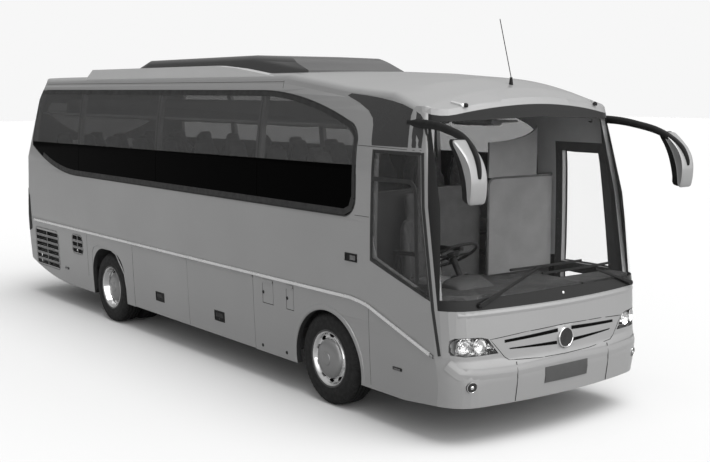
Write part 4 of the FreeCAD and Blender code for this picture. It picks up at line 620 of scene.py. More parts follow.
# Brow graphic.
# Gloss black film over the corner above the driver's window, cut to a curve that carries on the windows' line.
# The same film covers the pillar's outer face above the entrance door.
film = finish_material("gloss_black_film", 0.030, 0.024, (0.16, 0.24), scale=2.0, fine=500.0, bump=0.03,
                       depth=0.0003, Coat_Weight=0.3, Coat_Roughness=0.06)
brow = [(649, 2418), (642, 2460), (641, 2589), (625, 2647), (556, 2710), (416, 2774), (228, 2836), (278, 2856),
        (510, 2838), (700, 2818), (857, 2795), (1000, 2768), (1133, 2728), (1210, 2690), (1257, 2630), (1296, 2520),
        (1318, 2418)]
films = bmesh.new()
for side in ("right", "left"):
    laid_panel(films, side_path(*brow), side, -0.001, 0.0012, cell=0.07)
made("brow_film", films, [film], "coach")

# Headlamps and fog lamps.
# A clear moulded lens over a dark housing with three polished bowls, sealed into the nose panel's opening.
# The fog lamps are round glass lamps let into the bumper.
chrome = finish_material("chrome", 0.75, 0.62, (0.03, 0.08), scale=8.0, fine=300.0, bump=0.02, Metallic=1.0)
lamp_glass = glass_material("lamp_lens", 0.30, 0.04, [], shine=0.3, rough=0.02)
lamp_dark = finish_material("lamp_housing", 0.05, 0.03, (0.15, 0.25), scale=12.0, fine=300.0, bump=0.05,
                            Metallic=0.6)


def turn(form, place, axis, profile, sides, mat=0):
    """Solid of revolution round an axis, from places (distance along the axis, radius)."""
    axis = axis.normalized()
    u = axis.orthogonal().normalized()
    v = axis.cross(u)
    rings = []
    for along, radius in profile:
        if radius == 0:
            rings.append([form.verts.new(place + axis * along)])
        else:
            rings.append([form.verts.new(place + axis * along + (u * math.cos(2 * math.pi * i / sides)
                                                                 + v * math.sin(2 * math.pi * i / sides)) * radius)
                          for i in range(sides)])
    for a, b in zip(rings, rings[1:]):
        for i in range(sides):
            j = (i + 1) % sides
            loop = list(dict.fromkeys([a[i % len(a)], a[j % len(a)], b[j % len(b)], b[i % len(b)]]))
            form.faces.new(loop).material_index = mat


def stud(form, side, a, b, profile, sides, mat=0):
    """Turned fitting that stands on the skin."""
    turn(form, *on_skin(side, a, b), profile, sides, mat)


silver_bowl = finish_material("bowl_metal", 0.75, 0.04, (0.06, 0.20), scale=14.0, fine=30.0, bump=0.8,
                              depth=0.010, Metallic=0.95)
lens_outline = ((-735, 763), (-833, 892), (-895, 909), (-1014, 916), (-1085, 912), (-1124, 888), (-1138, 850),
                (-1138, 800), (-1116, 772), (-1042, 760))
lenses = bmesh.new()
housings = bmesh.new()
for side in (-1, 1):
    outline = [(-side * y / 1000, z / 1000) for y, z in lens_outline]
    inner = [(side * 0.960 + (y - side * 0.960) * 0.985, 0.838 + (z - 0.838) * 0.97) for y, z in outline]
    laid_panel(lenses, inner, "front", -0.004, 0.0005, cell=0.06)
    laid_panel(housings, inner, "front", -0.068, -0.060, mat=2, cell=0.06)
    laid_strip(housings, inner, "front", 0.004, -0.064, 0.001, mat=1, around=True)
    for y, z, radius in ((0.805, 0.815, 0.040), (0.905, 0.840, 0.062), (1.045, 0.842, 0.060)):
        spot, normal = on_skin("front", side * y, z)
        way = (normal + Vector((0.5, 0, 0))).normalized()
        profile = [(-0.060, 0), (-0.060, radius * 0.9), (-0.012, radius), (-0.010, radius * 0.96),
                   (-0.028, radius * 0.84), (-0.043, radius * 0.60), (-0.050, radius * 0.30),
                   (-0.030, radius * 0.26), (-0.022, radius * 0.14), (-0.020, 0)]
        turn(housings, spot, way, profile, 32)
made("headlamp_lenses", lenses, [lamp_glass], "coach", angle=50, stands_for="front_lamps")
made("headlamp_bowls", housings, [chrome, lamp_dark, silver_bowl], "coach", angle=40,
     stands_for="front_lamps")
fogs = bmesh.new()
for side in (-1, 1):
    spot, normal = on_skin("front", side * 1.000, 0.515)
    turn(fogs, spot - normal * 0.002, normal, [(0, 0), (0, 0.046), (0.005, 0.0455), (0.006, 0.042), (0.003, 0.040),
                                               (0.003, 0)], 32)
    turn(fogs, spot - normal * 0.002, normal, [(0.002, 0), (0.002, 0.0405), (0.0045, 0.0395), (0.0045, 0.017),
                                               (0.0045, 0)], 32, 1)
    turn(fogs, spot, normal, [(0.001, 0), (0.001, 0.016), (0.005, 0.015), (0.009, 0.008), (0.010, 0)], 24)
made("fog_lamps", fogs, [chrome, lamp_dark], "coach", angle=40, stands_for="front_lamps")

# Grille panel.
# A painted moulding with two long slots either side of a round boss, backed by black mesh.
# The boss is a plain dark disc in a bright rolled ring.
dressed("front_grille", [silver])
mesh_black = finish_material("slot_mesh", 0.002, 0.001, (0.6, 0.8), scale=60.0, fine=400.0, bump=0.6, depth=0.003,
                             Specular_IOR_Level=0.05)
slots = bmesh.new()
for side in (-1, 1):
    for run in (((672, 842), (672, 866), (84, 893), (84, 862)),
                ((610, 784), (610, 790), (350, 793), (98, 787), (98, 760), (350, 772))):
        laid_panel(slots, [(side * y / 1000, z / 1000) for y, z in run], "front", -0.002, 0.0008, cell=0.1)
outline = [(0, 672), (308, 676), (628, 697), (676, 727), (739, 800), (812, 883), (458, 908), (0, 921)]
ring = [(y / 1000, z / 1000) for y, z in outline] + [(-y / 1000, z / 1000) for y, z in outline[-2:0:-1]]
laid_strip(slots, ring, "front", 0.006, -0.002, 0.0008, around=True)
made("grille_slots", slots, [mesh_black], "coach", angle=60)
boss = bmesh.new()
spot, normal = on_skin("front", 0, 0.808)
turn(boss, spot - Vector((0.002, 0, 0)), forward,
     [(0, 0.091), (0.004, 0.091), (0.008, 0.087), (0.008, 0.082), (0.004, 0.078), (0.004, 0.030), (0.0055, 0.012),
      (0.006, 0)], 48)
for ring_face in boss.faces:
    middle = ring_face.calc_center_median() - spot
    ring_face.material_index = 1 if math.hypot(middle.y, middle.z) < 0.078 else 0
made("grille_boss", boss, [chrome, lamp_dark], "coach", angle=40)

# Blank number plate.
# A plain dark plate on a shallow holder, screwed to the middle of the bumper.
# Its match sits at the foot of the engine lid and lifts with it.
plate_dark = finish_material("plate_dark", 0.05, 0.04, (0.35, 0.5), scale=6.0, fine=500.0, bump=0.1)
for name, z0, z1, side, body in (("front_plate", 0.455, 0.590, "front", "coach"),
                                 ("rear_plate", 0.740, 0.860, "rear", "engine_lid")):
    plate = bmesh.new()
    laid_panel(plate, oblong(-0.26, 0.26, z0, z1), side, -0.002, 0.006, cell=0.1)
    made(name, plate, [plate_dark], body, angle=40)

# Mirrors.
# Horn-shaped black arms bolted to the roof corners, each holding a silver moulded head.
# Behind the head a black bezel carries the mirror glass, which faces the driver.
black = finish_material("black_moulding", 0.014, 0.009, (0.42, 0.56), scale=20.0, fine=900.0, bump=0.12,
                        depth=0.0004, Specular_IOR_Level=0.12)


def eased(points, count):
    """Smooth line through points, with this many places for each run."""
    out = []
    for i in range(len(points) - 1):
        a, b, c, d = points[max(i - 1, 0)], points[i], points[i + 1], points[min(i + 2, len(points) - 1)]
        for step in range(count):
            t = step / count
            out.append(0.5 * ((2 * b) + (c - a) * t + (2 * a - 5 * b + 4 * c - d) * t ** 2
                              + (3 * b - a - 3 * c + d) * t ** 3))
    return out + [points[-1]]


def eased_loop(points, count):
    """Smooth closed line through places on a plane."""
    flat = [Vector((a, b, 0)) for a, b in points]
    line = eased(flat[-2:] + flat + flat[:2], count)
    return [(spot.x, spot.y) for spot in line[2 * count:-(count + 1)]]


arm_path = ((1080, 1119, 2624), (1199, 1118, 2616), (1420, 1128, 2603), (1600, 1150, 2573), (1780, 1183, 2528),
            (1920, 1217, 2458), (2015, 1245, 2372), (2056, 1262, 2280), (2059, 1267, 2225))
arm_halves = (0.036, 0.038, 0.037, 0.035, 0.034, 0.032, 0.030, 0.027, 0.025)
head_face = ((2030, 2040), (2055, 2040), (2070, 2110), (2072, 2215), (2050, 2305), (2002, 2385), (1935, 2452),
             (1866, 2506), (1850, 2496), (1905, 2420), (1957, 2335), (2000, 2225), (2018, 2135))
head_bezel = ((1968, 2052), (2036, 2046), (2036, 2140), (1988, 2330), (1848, 2504), (1800, 2498), (1862, 2400),
              (1910, 2300), (1944, 2190), (1960, 2110))


def lofted_head(form, outline, side, widths, mat):
    """Rounded block across Y with one outline, drawn in towards its middle at the two sides."""
    line = eased_loop(outline, 4)
    mid = (sum(x for x, z in line) / len(line), sum(z for x, z in line) / len(line))
    lofted(form, [[at(mid[0] + (x - mid[0]) * share, side * y, mid[1] + (z - mid[1]) * share) for x, z in line]
                  for y, share in widths], mat)


arms = bmesh.new()
heads = bmesh.new()
glasses = bmesh.new()
for side in (-1, 1):
    line = eased([at(x, side * y, z) for x, y, z in arm_path], 5)
    halves = [value.x for value in eased([Vector((half, 0, 0)) for half in arm_halves], 5)]
    rings = []
    for i, spot in enumerate(line):
        along = (line[min(i + 1, len(line) - 1)] - line[max(i - 1, 0)]).normalized()
        up = Vector((-along.z, 0, along.x)).normalized()
        flat = along.cross(up).normalized()
        half = halves[i] * (0.96 if i < len(line) - 1 else 0.8)
        rings.append([spot + up * (half * v) + flat * (half * u) for u, v in (
            (-0.80, -0.55), (-0.62, -0.85), (-0.2, -0.98), (0.2, -0.98), (0.62, -0.85), (0.80, -0.55),
            (0.82, 0.10), (0.62, 0.55), (0.28, 0.90), (0, 1.0), (-0.28, 0.90), (-0.62, 0.55), (-0.82, 0.10))])
    lofted(arms, rings)
    turn(arms, at(1098, side * 1112, 2622), Vector((0, side, 0)), [(-0.02, 0), (-0.02, 0.042), (0.010, 0.040),
                                                                  (0.016, 0.030), (0.016, 0)], 24)
    lofted_head(heads, head_face, side, ((1190, 0.84), (1186, 0.93), (1194, 0.98), (1210, 1), (1325, 1),
                                         (1341, 0.98), (1349, 0.93), (1345, 0.84)), 0)
    lofted_head(heads, head_bezel, side, ((1196, 0.93), (1202, 0.99), (1333, 0.99), (1339, 0.93)), 1)
    lofted(glasses, [[at(x + dx, side * y, z - dx * 0.4) for dx, y in ((-6, 1212), (-6, 1323), (4, 1323), (4, 1212))]
                     for x, z in ((1862, 2400), (1910, 2300), (1944, 2190), (1960, 2110), (1968, 2052))])
made("mirror_arms", arms, [black], "coach", angle=38, stands_for="mirrors")
made("mirror_heads", heads, [silver, black], "coach", angle=50, stands_for="mirrors")
made("mirror_glass", glasses, [chrome], "coach", angle=30, stands_for="mirrors")

# Wipers.
# Two pressed steel arms on spindles in the scuttle, sprayed black, lie over each other ahead of the glass.
# Each ends in a hinge that holds a long steel blade with its rubber edge.
def bar(form, a, b, up, wide, high, wide_b=None, high_b=None, mat=0):
    """Straight bar of rectangular section between two points, tapering where far sizes are given."""
    across = (b - a).cross(up).normalized()
    top = across.cross(b - a).normalized()
    corners = ((-1, -0.6), (-0.7, -1), (0.7, -1), (1, -0.6), (1, 0.6), (0.7, 1), (-0.7, 1), (-1, 0.6))
    lofted(form, [[spot + across * (w * u / 2) + top * (h * v / 2) for u, v in corners]
                  for spot, w, h in ((a, wide, high), (b, wide_b or wide, high_b or high))], mat)


wipers = bmesh.new()
for pivot, tip, blade in (((-0.905, 1.165), (-0.300, 1.415), (-0.575, 1.425, 0.255, 1.430)),
                          ((0.985, 1.150), (0.445, 1.330), (-0.235, 1.368, 0.650, 1.368))):
    foot, out = on_skin("front", *pivot)
    tip, tip_out = on_skin("front", *tip)
    from_y, from_z, to_y, to_z = blade
    turn(wipers, foot, out, [(-0.004, 0), (-0.004, 0.022), (0.012, 0.021), (0.020, 0.017), (0.030, 0.016),
                             (0.033, 0.010), (0.033, 0)], 24)
    root = foot + out * 0.024
    top = tip + tip_out * 0.030
    knee = root + (top - root) * 0.30 + out * 0.004
    bar(wipers, root, knee, out, 0.040, 0.022, 0.030, 0.018)
    bar(wipers, knee, top, out, 0.026, 0.014, 0.020, 0.012)
    bar(wipers, top + (root - top).normalized() * 0.03, top + (top - root).normalized() * 0.03, tip_out, 0.022, 0.014)
    spots = [on_skin("front", from_y + (to_y - from_y) * (i / 12), from_z + (to_z - from_z) * (i / 12))
             for i in range(13)]
    for (a, out_a), (b, out_b) in zip(spots, spots[1:]):
        bar(wipers, a + out_a * 0.017, b + out_b * 0.017, out_a, 0.022, 0.010)
        bar(wipers, a + out_a * 0.008, b + out_b * 0.008, out_a, 0.009, 0.016)
made("wipers_detailed", wipers, [black], "coach", angle=30, stands_for="wipers")

# Washer jet, clearance lamps and aerial.
# Small moulded fittings screwed through the skin, each on its own rubber seat.
# The aerial is a black rod on a moulded foot, screwed to the roof.
fittings = bmesh.new()
stud(fittings, "front", 0.0, 1.186, [(-0.004, 0), (-0.004, 0.014), (0.004, 0.013), (0.008, 0.008), (0.009, 0)], 16)
for side in (-1, 1):
    laid_panel(fittings, [(ahead(x), side * y) for x, y in ((1301, 0.868), (1392, 0.812), (1385, 0.790),
                                                            (1294, 0.846))], "top", -0.004, 0.014, cell=0.04)
    stud(fittings, "top", ahead(1400), side * 0.79,
         [(-0.004, 0), (-0.004, 0.022), (0.014, 0.019), (0.022, 0.010), (0.024, 0)], 16, 1)
made("nose_fittings", fittings, [bright, black], "coach", angle=40)
dressed("aerial", [black])

# Skirt fittings.
# Recessed black handles lock the luggage flaps, with small lamps, latches and plugs along the skirt.
# The handles ride on their flaps and everything else is screwed to the fixed skin.
lens_amber = finish_material("marker_lens", 0.09, 0.05, (0.12, 0.2), scale=40.0, fine=150.0, bump=0.4, depth=0.002,
                             Coat_Weight=0.5)


def handle(form, side, x0, x1, z0, z1):
    """Square dish with a raised frame, a hinged paddle and a key lock."""
    a0, a1, b0, b1 = ahead(x0), ahead(x1), z0 / 1000, z1 / 1000
    laid_panel(form, oblong(a0, a1, b0, b1), side, -0.003, 0.0015)
    rim = 0.012
    laid_strip(form, oblong(a0 + rim / 2, a1 - rim / 2, b0 + rim / 2, b1 - rim / 2), side, rim, -0.002, 0.006,
               around=True)
    laid_panel(form, [(a0 + 0.028, b0 + 0.046), (a1 - 0.028, b0 + 0.046), (a1 - 0.034, b1 - 0.022),
                      (a0 + 0.034, b1 - 0.022)], side, 0.0, 0.005, mat=1)
    stud(form, side, (a0 + a1) / 2, b0 + 0.028,
         [(0.0, 0), (0.0, 0.011), (0.005, 0.010), (0.0055, 0.004), (0.0045, 0)], 16, 1)


for word in ("right", "left"):
    for flap, x0, x1, z0, z1 in (("rear", -3380, -3178, 463, 572), ("front", -2034, -1830, 458, 570)):
        handles = bmesh.new()
        handle(handles, word, x0, x1, z0, z1)
        made("handle_" + flap + "_" + word, handles, [black, gasket], "luggage_flap_" + flap + "_" + word,
             angle=30)
bits = bmesh.new()
for word in ("right", "left"):
    for x0, x1, z0, z1 in ((-6012, -5895, 494, 520), (957, 1075, 536, 562)):
        laid_panel(bits, side_path(*oblong(x0, x1, z0, z1)), word, -0.003, 0.005)
        laid_panel(bits, side_path(*oblong(x0 + 18, x1 - 18, z0 + 5, z1 - 5)), word, 0.0, 0.009, mat=1)
    laid_panel(bits, side_path(*oblong(311, 485, 1392, 1465)), word, -0.003, 0.004)
    laid_strip(bits, side_path(*oblong(319, 477, 1400, 1457)), word, 0.012, -0.002, 0.009, around=True)
    laid_panel(bits, side_path(*oblong(390, 466, 1408, 1449)), word, 0.0, 0.008, mat=1)
    for x, z in ((-1102, 358), (-673, 362), (528, 366)):
        stud(bits, word, ahead(x), z / 1000,
             [(-0.003, 0), (-0.003, 0.018), (0.004, 0.016), (0.005, 0.006), (0.003, 0)], 16)
for word in ("right", "left"):
    laid_panel(bits, side_path((-7150, 1400), (-7118, 935), (-7200, 900), (-7285, 930), (-7285, 1480),
                               (-7230, 1500)), word, -0.003, 0.005, cell=0.025)
made("skirt_fittings", bits, [black, lens_amber], "coach", angle=30)
for flap, x, z in (("fuel_flap", -1046, 908), ("filler_flap", -625, 908)):
    latch = bmesh.new()
    stud(latch, "right", ahead(x), z / 1000,
         [(-0.003, 0), (-0.003, 0.019), (0.003, 0.017), (0.004, 0.006), (0.002, 0)], 20)
    made(flap + "_latch", latch, [black], flap, angle=30)

# Engine air grilles.
# Slots pressed in the right skirt behind the rear axle, each with turned-down slats and a woven guard behind.
# The slats are one pressing, repeated up the grille at the slots' pitch.
def settled(part):
    """Plain mesh of an object as its modifiers make it."""
    return bpy.data.meshes.new_from_object(part.evaluated_get(bpy.context.evaluated_depsgraph_get()))


def repeated(form, name, count, mat, offset=(0, 0, 0), stride=0.0):
    """Plain mesh of one form repeated in a row, or by an angle round the Y axis, by Geometry Nodes."""
    seed = bpy.data.meshes.new(name + "_seed")
    form.to_mesh(seed)
    form.free()
    part = in_scene(name + "_seed", seed)
    tree = bpy.data.node_groups.new(name, "GeometryNodeTree")
    known = {socket: tree.interface.new_socket(socket, in_out="INPUT", socket_type="NodeSocket" + kind).identifier
             for socket, kind in (("Geometry", "Geometry"), ("Count", "Int"), ("Offset", "Vector"),
                                  ("Stride", "Float"))}
    tree.interface.new_socket("Geometry", in_out="OUTPUT", socket_type="NodeSocketGeometry")
    given, row, index, angle, spin, put, real, dress, out = [tree.nodes.new(kind) for kind in (
        "NodeGroupInput", "GeometryNodeMeshLine", "GeometryNodeInputIndex", "ShaderNodeMath",
        "ShaderNodeCombineXYZ", "GeometryNodeInstanceOnPoints", "GeometryNodeRealizeInstances",
        "GeometryNodeSetMaterial", "NodeGroupOutput")]
    angle.operation = "MULTIPLY"
    dress.inputs["Material"].default_value = mat
    for start, leaving, end, entering in (
            (given, "Count", row, "Count"), (given, "Offset", row, "Offset"), (row, "Mesh", put, "Points"),
            (index, "Index", angle, 0), (given, "Stride", angle, 1), (angle, "Value", spin, "Y"),
            (spin, "Vector", put, "Rotation"), (given, "Geometry", put, "Instance"),
            (put, "Instances", real, "Geometry"), (real, "Geometry", dress, "Geometry"),
            (dress, "Geometry", out, "Geometry")):
        link(tree, start.outputs[leaving], end.inputs[entering])
    live = part.modifiers.new("repeat", "NODES")
    live.node_group = tree
    for socket, value in (("Count", count), ("Offset", offset), ("Stride", stride)):
        live[known[socket]] = value
    mesh = settled(part)
    mesh.name = name
    bpy.data.objects.remove(part)
    return mesh


slat_metal = finish_material("slat_paint", 0.05, 0.26, (0.35, 0.55), scale=22.0, fine=90.0, bump=0.5, depth=0.003,
                             Metallic=0.4)
guard_black = finish_material("guard_mesh", 0.010, 0.11, (0.6, 0.8), scale=34.0, fine=90.0, bump=0.9, depth=0.006)
guards = bmesh.new()
for x0, x1, z0, z1 in ((-6985, -6205, 462, 962), (-5716, -5391, 757, 995)):
    corners = [at(x, -1110, z) for x, z in oblong(x0, x1, z0, z1)]
    lofted(guards, [corners, [spot + Vector((0, 0.004, 0)) for spot in corners]])
made("grille_guards", guards, [guard_black], "coach", angle=30)
slot_pitch = 0.084
frames = bmesh.new()
for x0, x1, z0, z1, rows in ((-6996, -6192, 450, 976, 6), (-5724, -5384, 750, 1002, 3)):
    ring = [(x0, z0 + 40), (x0 + 40, z0), (x1 - 40, z0), (x1, z0 + 40), (x1, z1 - 60), (x1 - 60, z1), (x0 + 40, z1),
            (x0, z1 - 40)]
    laid_strip(frames, side_path(*ring), "right", 0.018, -0.003, 0.002, around=True)
    for row in range(1, rows):
        z = z0 + 5 + row * slot_pitch * 1000
        laid_strip(frames, side_path((x0 + 6, z), (x1 - 6, z)), "right", 0.024, -0.002, 0.002)
made("grille_frames", frames, [slat_metal], "coach", angle=30)
for name, x0, x1, z0, rows in (("large_grille_slats", -6980, -6210, 478, 6),
                               ("small_grille_slats", -5706, -5401, 773, 3)):
    slat = bmesh.new()
    for z in (z0, z0 + 22):
        bar(slat, at(x0, -1150, z), at(x1, -1150, z), Vector((0, 0.5, 1)), 0.040, 0.004)
    place_mesh(name, repeated(slat, name, rows, slat_metal, (0, 0, slot_pitch)), [], "coach")

# Tail lamps and engine lid fittings.
# Three round lamps with chromed rings stand over each other in a dark red lens at each rear corner.
# The lid carries a moulded lift handle and black ribs over its air slots, screwed from inside.
tail_red = finish_material("tail_lamp_lens", 0.035, 0.02, (0.1, 0.2), scale=30.0, fine=120.0, bump=0.25,
                           depth=0.002, Coat_Weight=0.8)
dressed("tail_lamps", [tail_red])
tails = bmesh.new()
for side in (-1, 1):
    for z in (1.115, 1.260, 1.405):
        stud(tails, "rear", side * 1.075, z, [(-0.004, 0.056), (0.004, 0.056), (0.007, 0.050), (0.003, 0.046),
                                              (0.005, 0.030), (0.006, 0)], 28)
made("tail_lamp_rings", tails, [chrome], "coach", angle=40)
lid_bits = bmesh.new()
laid_panel(lid_bits, oblong(-0.11, 0.11, 1.02, 1.075), "rear", -0.003, 0.004)
laid_panel(lid_bits, [(-0.09, 1.045), (0.09, 1.045), (0.085, 1.065), (-0.085, 1.065)], "rear", 0.0, 0.010, mat=1)
for row in range(7):
    z = 1.20 + row * 0.040
    laid_strip(lid_bits, [(-0.62, z), (0.62, z)], "rear", 0.018, -0.003, 0.004, step=0.15)
made("engine_lid_fittings", lid_bits, [black, gasket], "engine_lid", angle=30)

# Tyres.
# Steel-belted rubber tyres, one on each front wheel and a pair on each rear wheel.
# The tread has four rain grooves, and rubber lugs stand round both shoulders.
rubber = finish_material("tyre_rubber", 0.011, 0.006, (0.62, 0.80), scale=24.0, fine=600.0, bump=0.35,
                         depth=0.0012, Specular_IOR_Level=0.3)


def closed_turn(form, place, axis, loop, sides, mat=0):
    """Solid of revolution whose section is a closed loop."""
    before = set(form.verts)
    turn(form, place, axis, loop + loop[:1], sides, mat)
    bmesh.ops.remove_doubles(form, verts=[corner for corner in form.verts if corner not in before], dist=0.00001)


rear_axle = -4622
axle_height = 433.5
wheel_face = 1165
origin = Vector((0, 0, 0))


def on_wheels(name, meshes, x, outers, word, mats, body, angle, node):
    """Piece for one side's wheels, of meshes made round the origin with their outer faces at Y 0."""
    side = 1 if word == "left" else -1
    form = bmesh.new()
    for outer in outers:
        for mesh in meshes:
            new = mesh.copy()
            round_about = Matrix.Rotation(math.pi if side < 0 else 0, 4, "Z")
            new.transform(Matrix.Translation(at(x, side * outer, axle_height)) @ round_about)
            form.from_mesh(new)
            bpy.data.meshes.remove(new)
    mesh = bpy.data.meshes.new(name)
    form.to_mesh(mesh)
    form.free()
    mesh.shade_smooth()
    mesh.set_sharp_from_angle(angle=math.radians(angle))
    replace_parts(place_mesh(name, mesh, mats, body + word), node + word)


tyre_loop = [(14, 264), (6, 271), (3, 282), (4, 292), (1, 297), (0, 318), (-1, 336), (1, 340), (1, 366), (4, 382),
             (8, 394), (14, 400), (22, 412), (33, 421), (46, 427), (60, 430), (62, 420), (71, 420), (73, 431),
             (100, 433), (102, 421), (111, 421), (113, 433), (148, 433), (150, 421), (159, 421), (161, 433),
             (188, 431), (190, 420), (199, 420), (201, 430), (216, 427), (229, 421), (240, 412), (248, 400),
             (254, 394), (258, 382), (261, 366), (263, 336), (262, 318), (258, 292), (259, 282), (256, 271),
             (248, 264), (240, 261), (22, 261)]
plain_tyre = bmesh.new()
closed_turn(plain_tyre, origin, leftward, [(-y / 1000, r / 1000) for y, r in tyre_loop], 84)
plain_mesh = finished("plain_tyre", plain_tyre)
lug = bmesh.new()
for inward, way in ((0.0, 1), (0.262, -1)):
    lofted(lug, [[Vector((dx, -inward + out * way + dy * way, radius + dz))
                  for dx, dy, dz in ((-0.012, 0, -0.006), (-0.009, 0.002, 0.0045), (0.009, 0.002, 0.0045),
                                     (0.012, 0, -0.006))]
                 for out, radius in ((-0.010, 0.392), (-0.020, 0.408), (-0.040, 0.423), (-0.060, 0.429))])
bmesh.ops.recalc_face_normals(lug, faces=lug.faces)
lug_count = 56
lugs_mesh = repeated(lug, "tyre_lugs", lug_count, rubber, stride=2 * math.pi / lug_count)
for word in ("left", "right"):
    for axle, x, outers, body in (("front", 0, (wheel_face,), "front_wheel_"),
                                  ("rear", rear_axle, (wheel_face, wheel_face - 300), "rear_wheels_")):
        on_wheels(axle + "_tread_" + word, [plain_mesh, lugs_mesh], x, outers, word, [rubber], body, 38,
                  axle + "_tyre_")

# Wheels.
# Pressed steel rims, sprayed dark grey, each with a chromed cover clipped in its face.
# The cover has an outer flange, a valley with hand holes for the valves, and a smooth dome with a plain centre. The
# dome takes a darker, duller metal than the chrome ring: painted shade for its dimmer reflection.
wheel_chrome = finish_material("wheel_cover_chrome", 0.70, 0.62, (0.04, 0.10), scale=9.0, fine=300.0, bump=0.03,
                               Metallic=1.0)
rim_steel = finish_material("rim_steel", 0.10, 0.07, (0.35, 0.5), scale=9.0, fine=400.0, bump=0.15, Metallic=0.7)
# Darker, less metallic copy of the cover's chrome for its dome: painted shade for the dome's dimmer reflection.
dome_metal_painted_shade = finish_material("cover_dome_painted_shade", 0.23, 0.20, (0.30, 0.40), scale=4.0, fine=700.0, bump=0.05,
                             Metallic=0.55, Coat_Weight=0.3)


def carved(form, cutter, name):
    """Plain mesh of one closed form less another, with the first one's materials kept by face."""
    pair = []
    for tag, shape in (("_whole", form), ("_cutter", cutter)):
        pair.append(in_scene(name + tag, finished(name + tag, shape)))
    cut = pair[0].modifiers.new("cut", "BOOLEAN")
    cut.object = pair[1]
    cut.solver = "EXACT"
    mesh = settled(pair[0])
    for part in pair:
        bpy.data.objects.remove(part)
    return mesh


def cover_shell(depth):
    """Cover made round the origin, its dome lying this deep behind the tyre's outer face."""
    face = [(28.5, 0), (28.0, 40), (27, 54), (25, 60), (21, 62), (21, 68), (18, 100), (13, 130), (5, 155), (-4, 170),
            (-14, 179), (-28, 185), (-40, 189), (-46, 196), (-47, 208), (-42, 219), (-30, 228)]
    lip = [(-18, 236), (-10, 243), (-6.5, 249), (-8, 254)]
    points = [(y - depth, r) for y, r in face] + [(y, r) for y, r in lip]
    back = [(y - 4, max(r - 1.5, 0)) for y, r in reversed(points)]
    shell = bmesh.new()
    turn(shell, origin, leftward, [(y / 1000, r / 1000) for y, r in points + back], 96)
    # Faces of the dome inside the valley take the second, darker material: painted shade.
    for side in shell.faces:
        spot = side.calc_center_median()
        side.material_index = 1 if math.hypot(spot.x, spot.z) < 0.184 else 0
    holes = bmesh.new()
    for i in range(10):
        angle = 2 * math.pi * (i + 0.5) / 10
        out, round_way = Vector((math.cos(angle), 0, math.sin(angle))), Vector((-math.sin(angle), 0, math.cos(angle)))
        lofted(holes, [[out * (0.208 + 0.0135 * math.cos(t)) + round_way * (0.036 * math.sin(t)) + Vector((0, y, 0))
                        for t in [2 * math.pi * k / 16 for k in range(16)]]
                       for y in (-0.03 - depth / 1000, -0.06 - depth / 1000)])
    return carved(shell, holes, "cover")


def rim_form(offsets, deep):
    """Rim barrels with the drum behind them, made round the origin."""
    form = bmesh.new()
    for inward in offsets:
        loop = [(-5, 262), (-4, 266), (-6, 270), (-11, 270), (-14, 266), (-22, 262), (-34, 258), (-46, 248),
                (-200, 248), (-226, 258), (-240, 262), (-248, 266), (-252, 270), (-257, 268), (-257, 262),
                (-250, 256), (-230, 250), (-200, 241), (-46, 241), (-24, 250), (-12, 254)]
        closed_turn(form, origin, leftward, [((y - inward) / 1000, r / 1000) for y, r in loop], 84)
    turn(form, origin, leftward,
         [(y / 1000, r / 1000) for y, r in ((-deep, 0), (-deep, 242), (-deep - 8, 242), (-deep - 12, 205),
                                            (-deep - 150, 200), (-deep - 156, 196), (-deep - 156, 0))], 72, 1)
    return finished("rim", form)


for axle, x, offsets, depth, body in (("front", 0, (0,), 0, "front_wheel_"),
                                      ("rear", rear_axle, (0, 300), 62, "rear_wheels_")):
    cover_mesh = cover_shell(depth)
    rim_mesh = rim_form(offsets, 74 + depth)
    for word in ("left", "right"):
        for name, mesh, mats, sharp in (("_cover_", cover_mesh, [wheel_chrome, dome_metal_painted_shade], 40),
                                        ("_barrel_", rim_mesh, [rim_steel, lamp_dark], 35)):
            on_wheels(axle + name + word, [mesh], x, (wheel_face,), word, mats, body, sharp,
                      axle + "_rim_")

# Chassis and running gear.
# Welded steel rails and cross members, sprayed black, with forged axles and fabric-reinforced rubber air springs.
# The brake chambers are bolted to the axles, and the springs stand on them.
frame_paint = finish_material("frame_paint", 0.045, 0.028, (0.5, 0.75), scale=5.0, fine=160.0, bump=0.35, depth=0.001)
for node in ("underframe", "front_axle", "rear_axle", "knuckle_left", "knuckle_right"):
    dressed(node, [frame_paint])
housing_paint = finish_material("wheel_housing_coat", 0.022, 0.013, (0.75, 0.95), scale=9.0, fine=220.0, bump=0.6,
                                depth=0.002)
dressed("wheel_housings", [housing_paint])
guards = bmesh.new()
for x in (0, rear_axle):
    for side in (-1, 1):
        for way in (-1, 1):
            lofted(guards, [[at(x + way * a, side * y, z) for a, z in ((130, 640), (130, 330), (470, 300), (545, 380),
                                                                       (545, 640))] for y in (570, 575)])
behind = rear_axle - 600
for side in (-1, 1):
    lofted(guards, [[at(x, side * y, z) for x, z in oblong(behind, behind + 60, 330, 640)] for y in (571, 575)])
    lofted(guards, [[at(x, side * y, z) for y, z in oblong(572, 1110, 330, 760)] for x in (behind, behind + 4)])
made("wheel_guards", guards, [housing_paint], "coach", angle=30)
springs = bmesh.new()
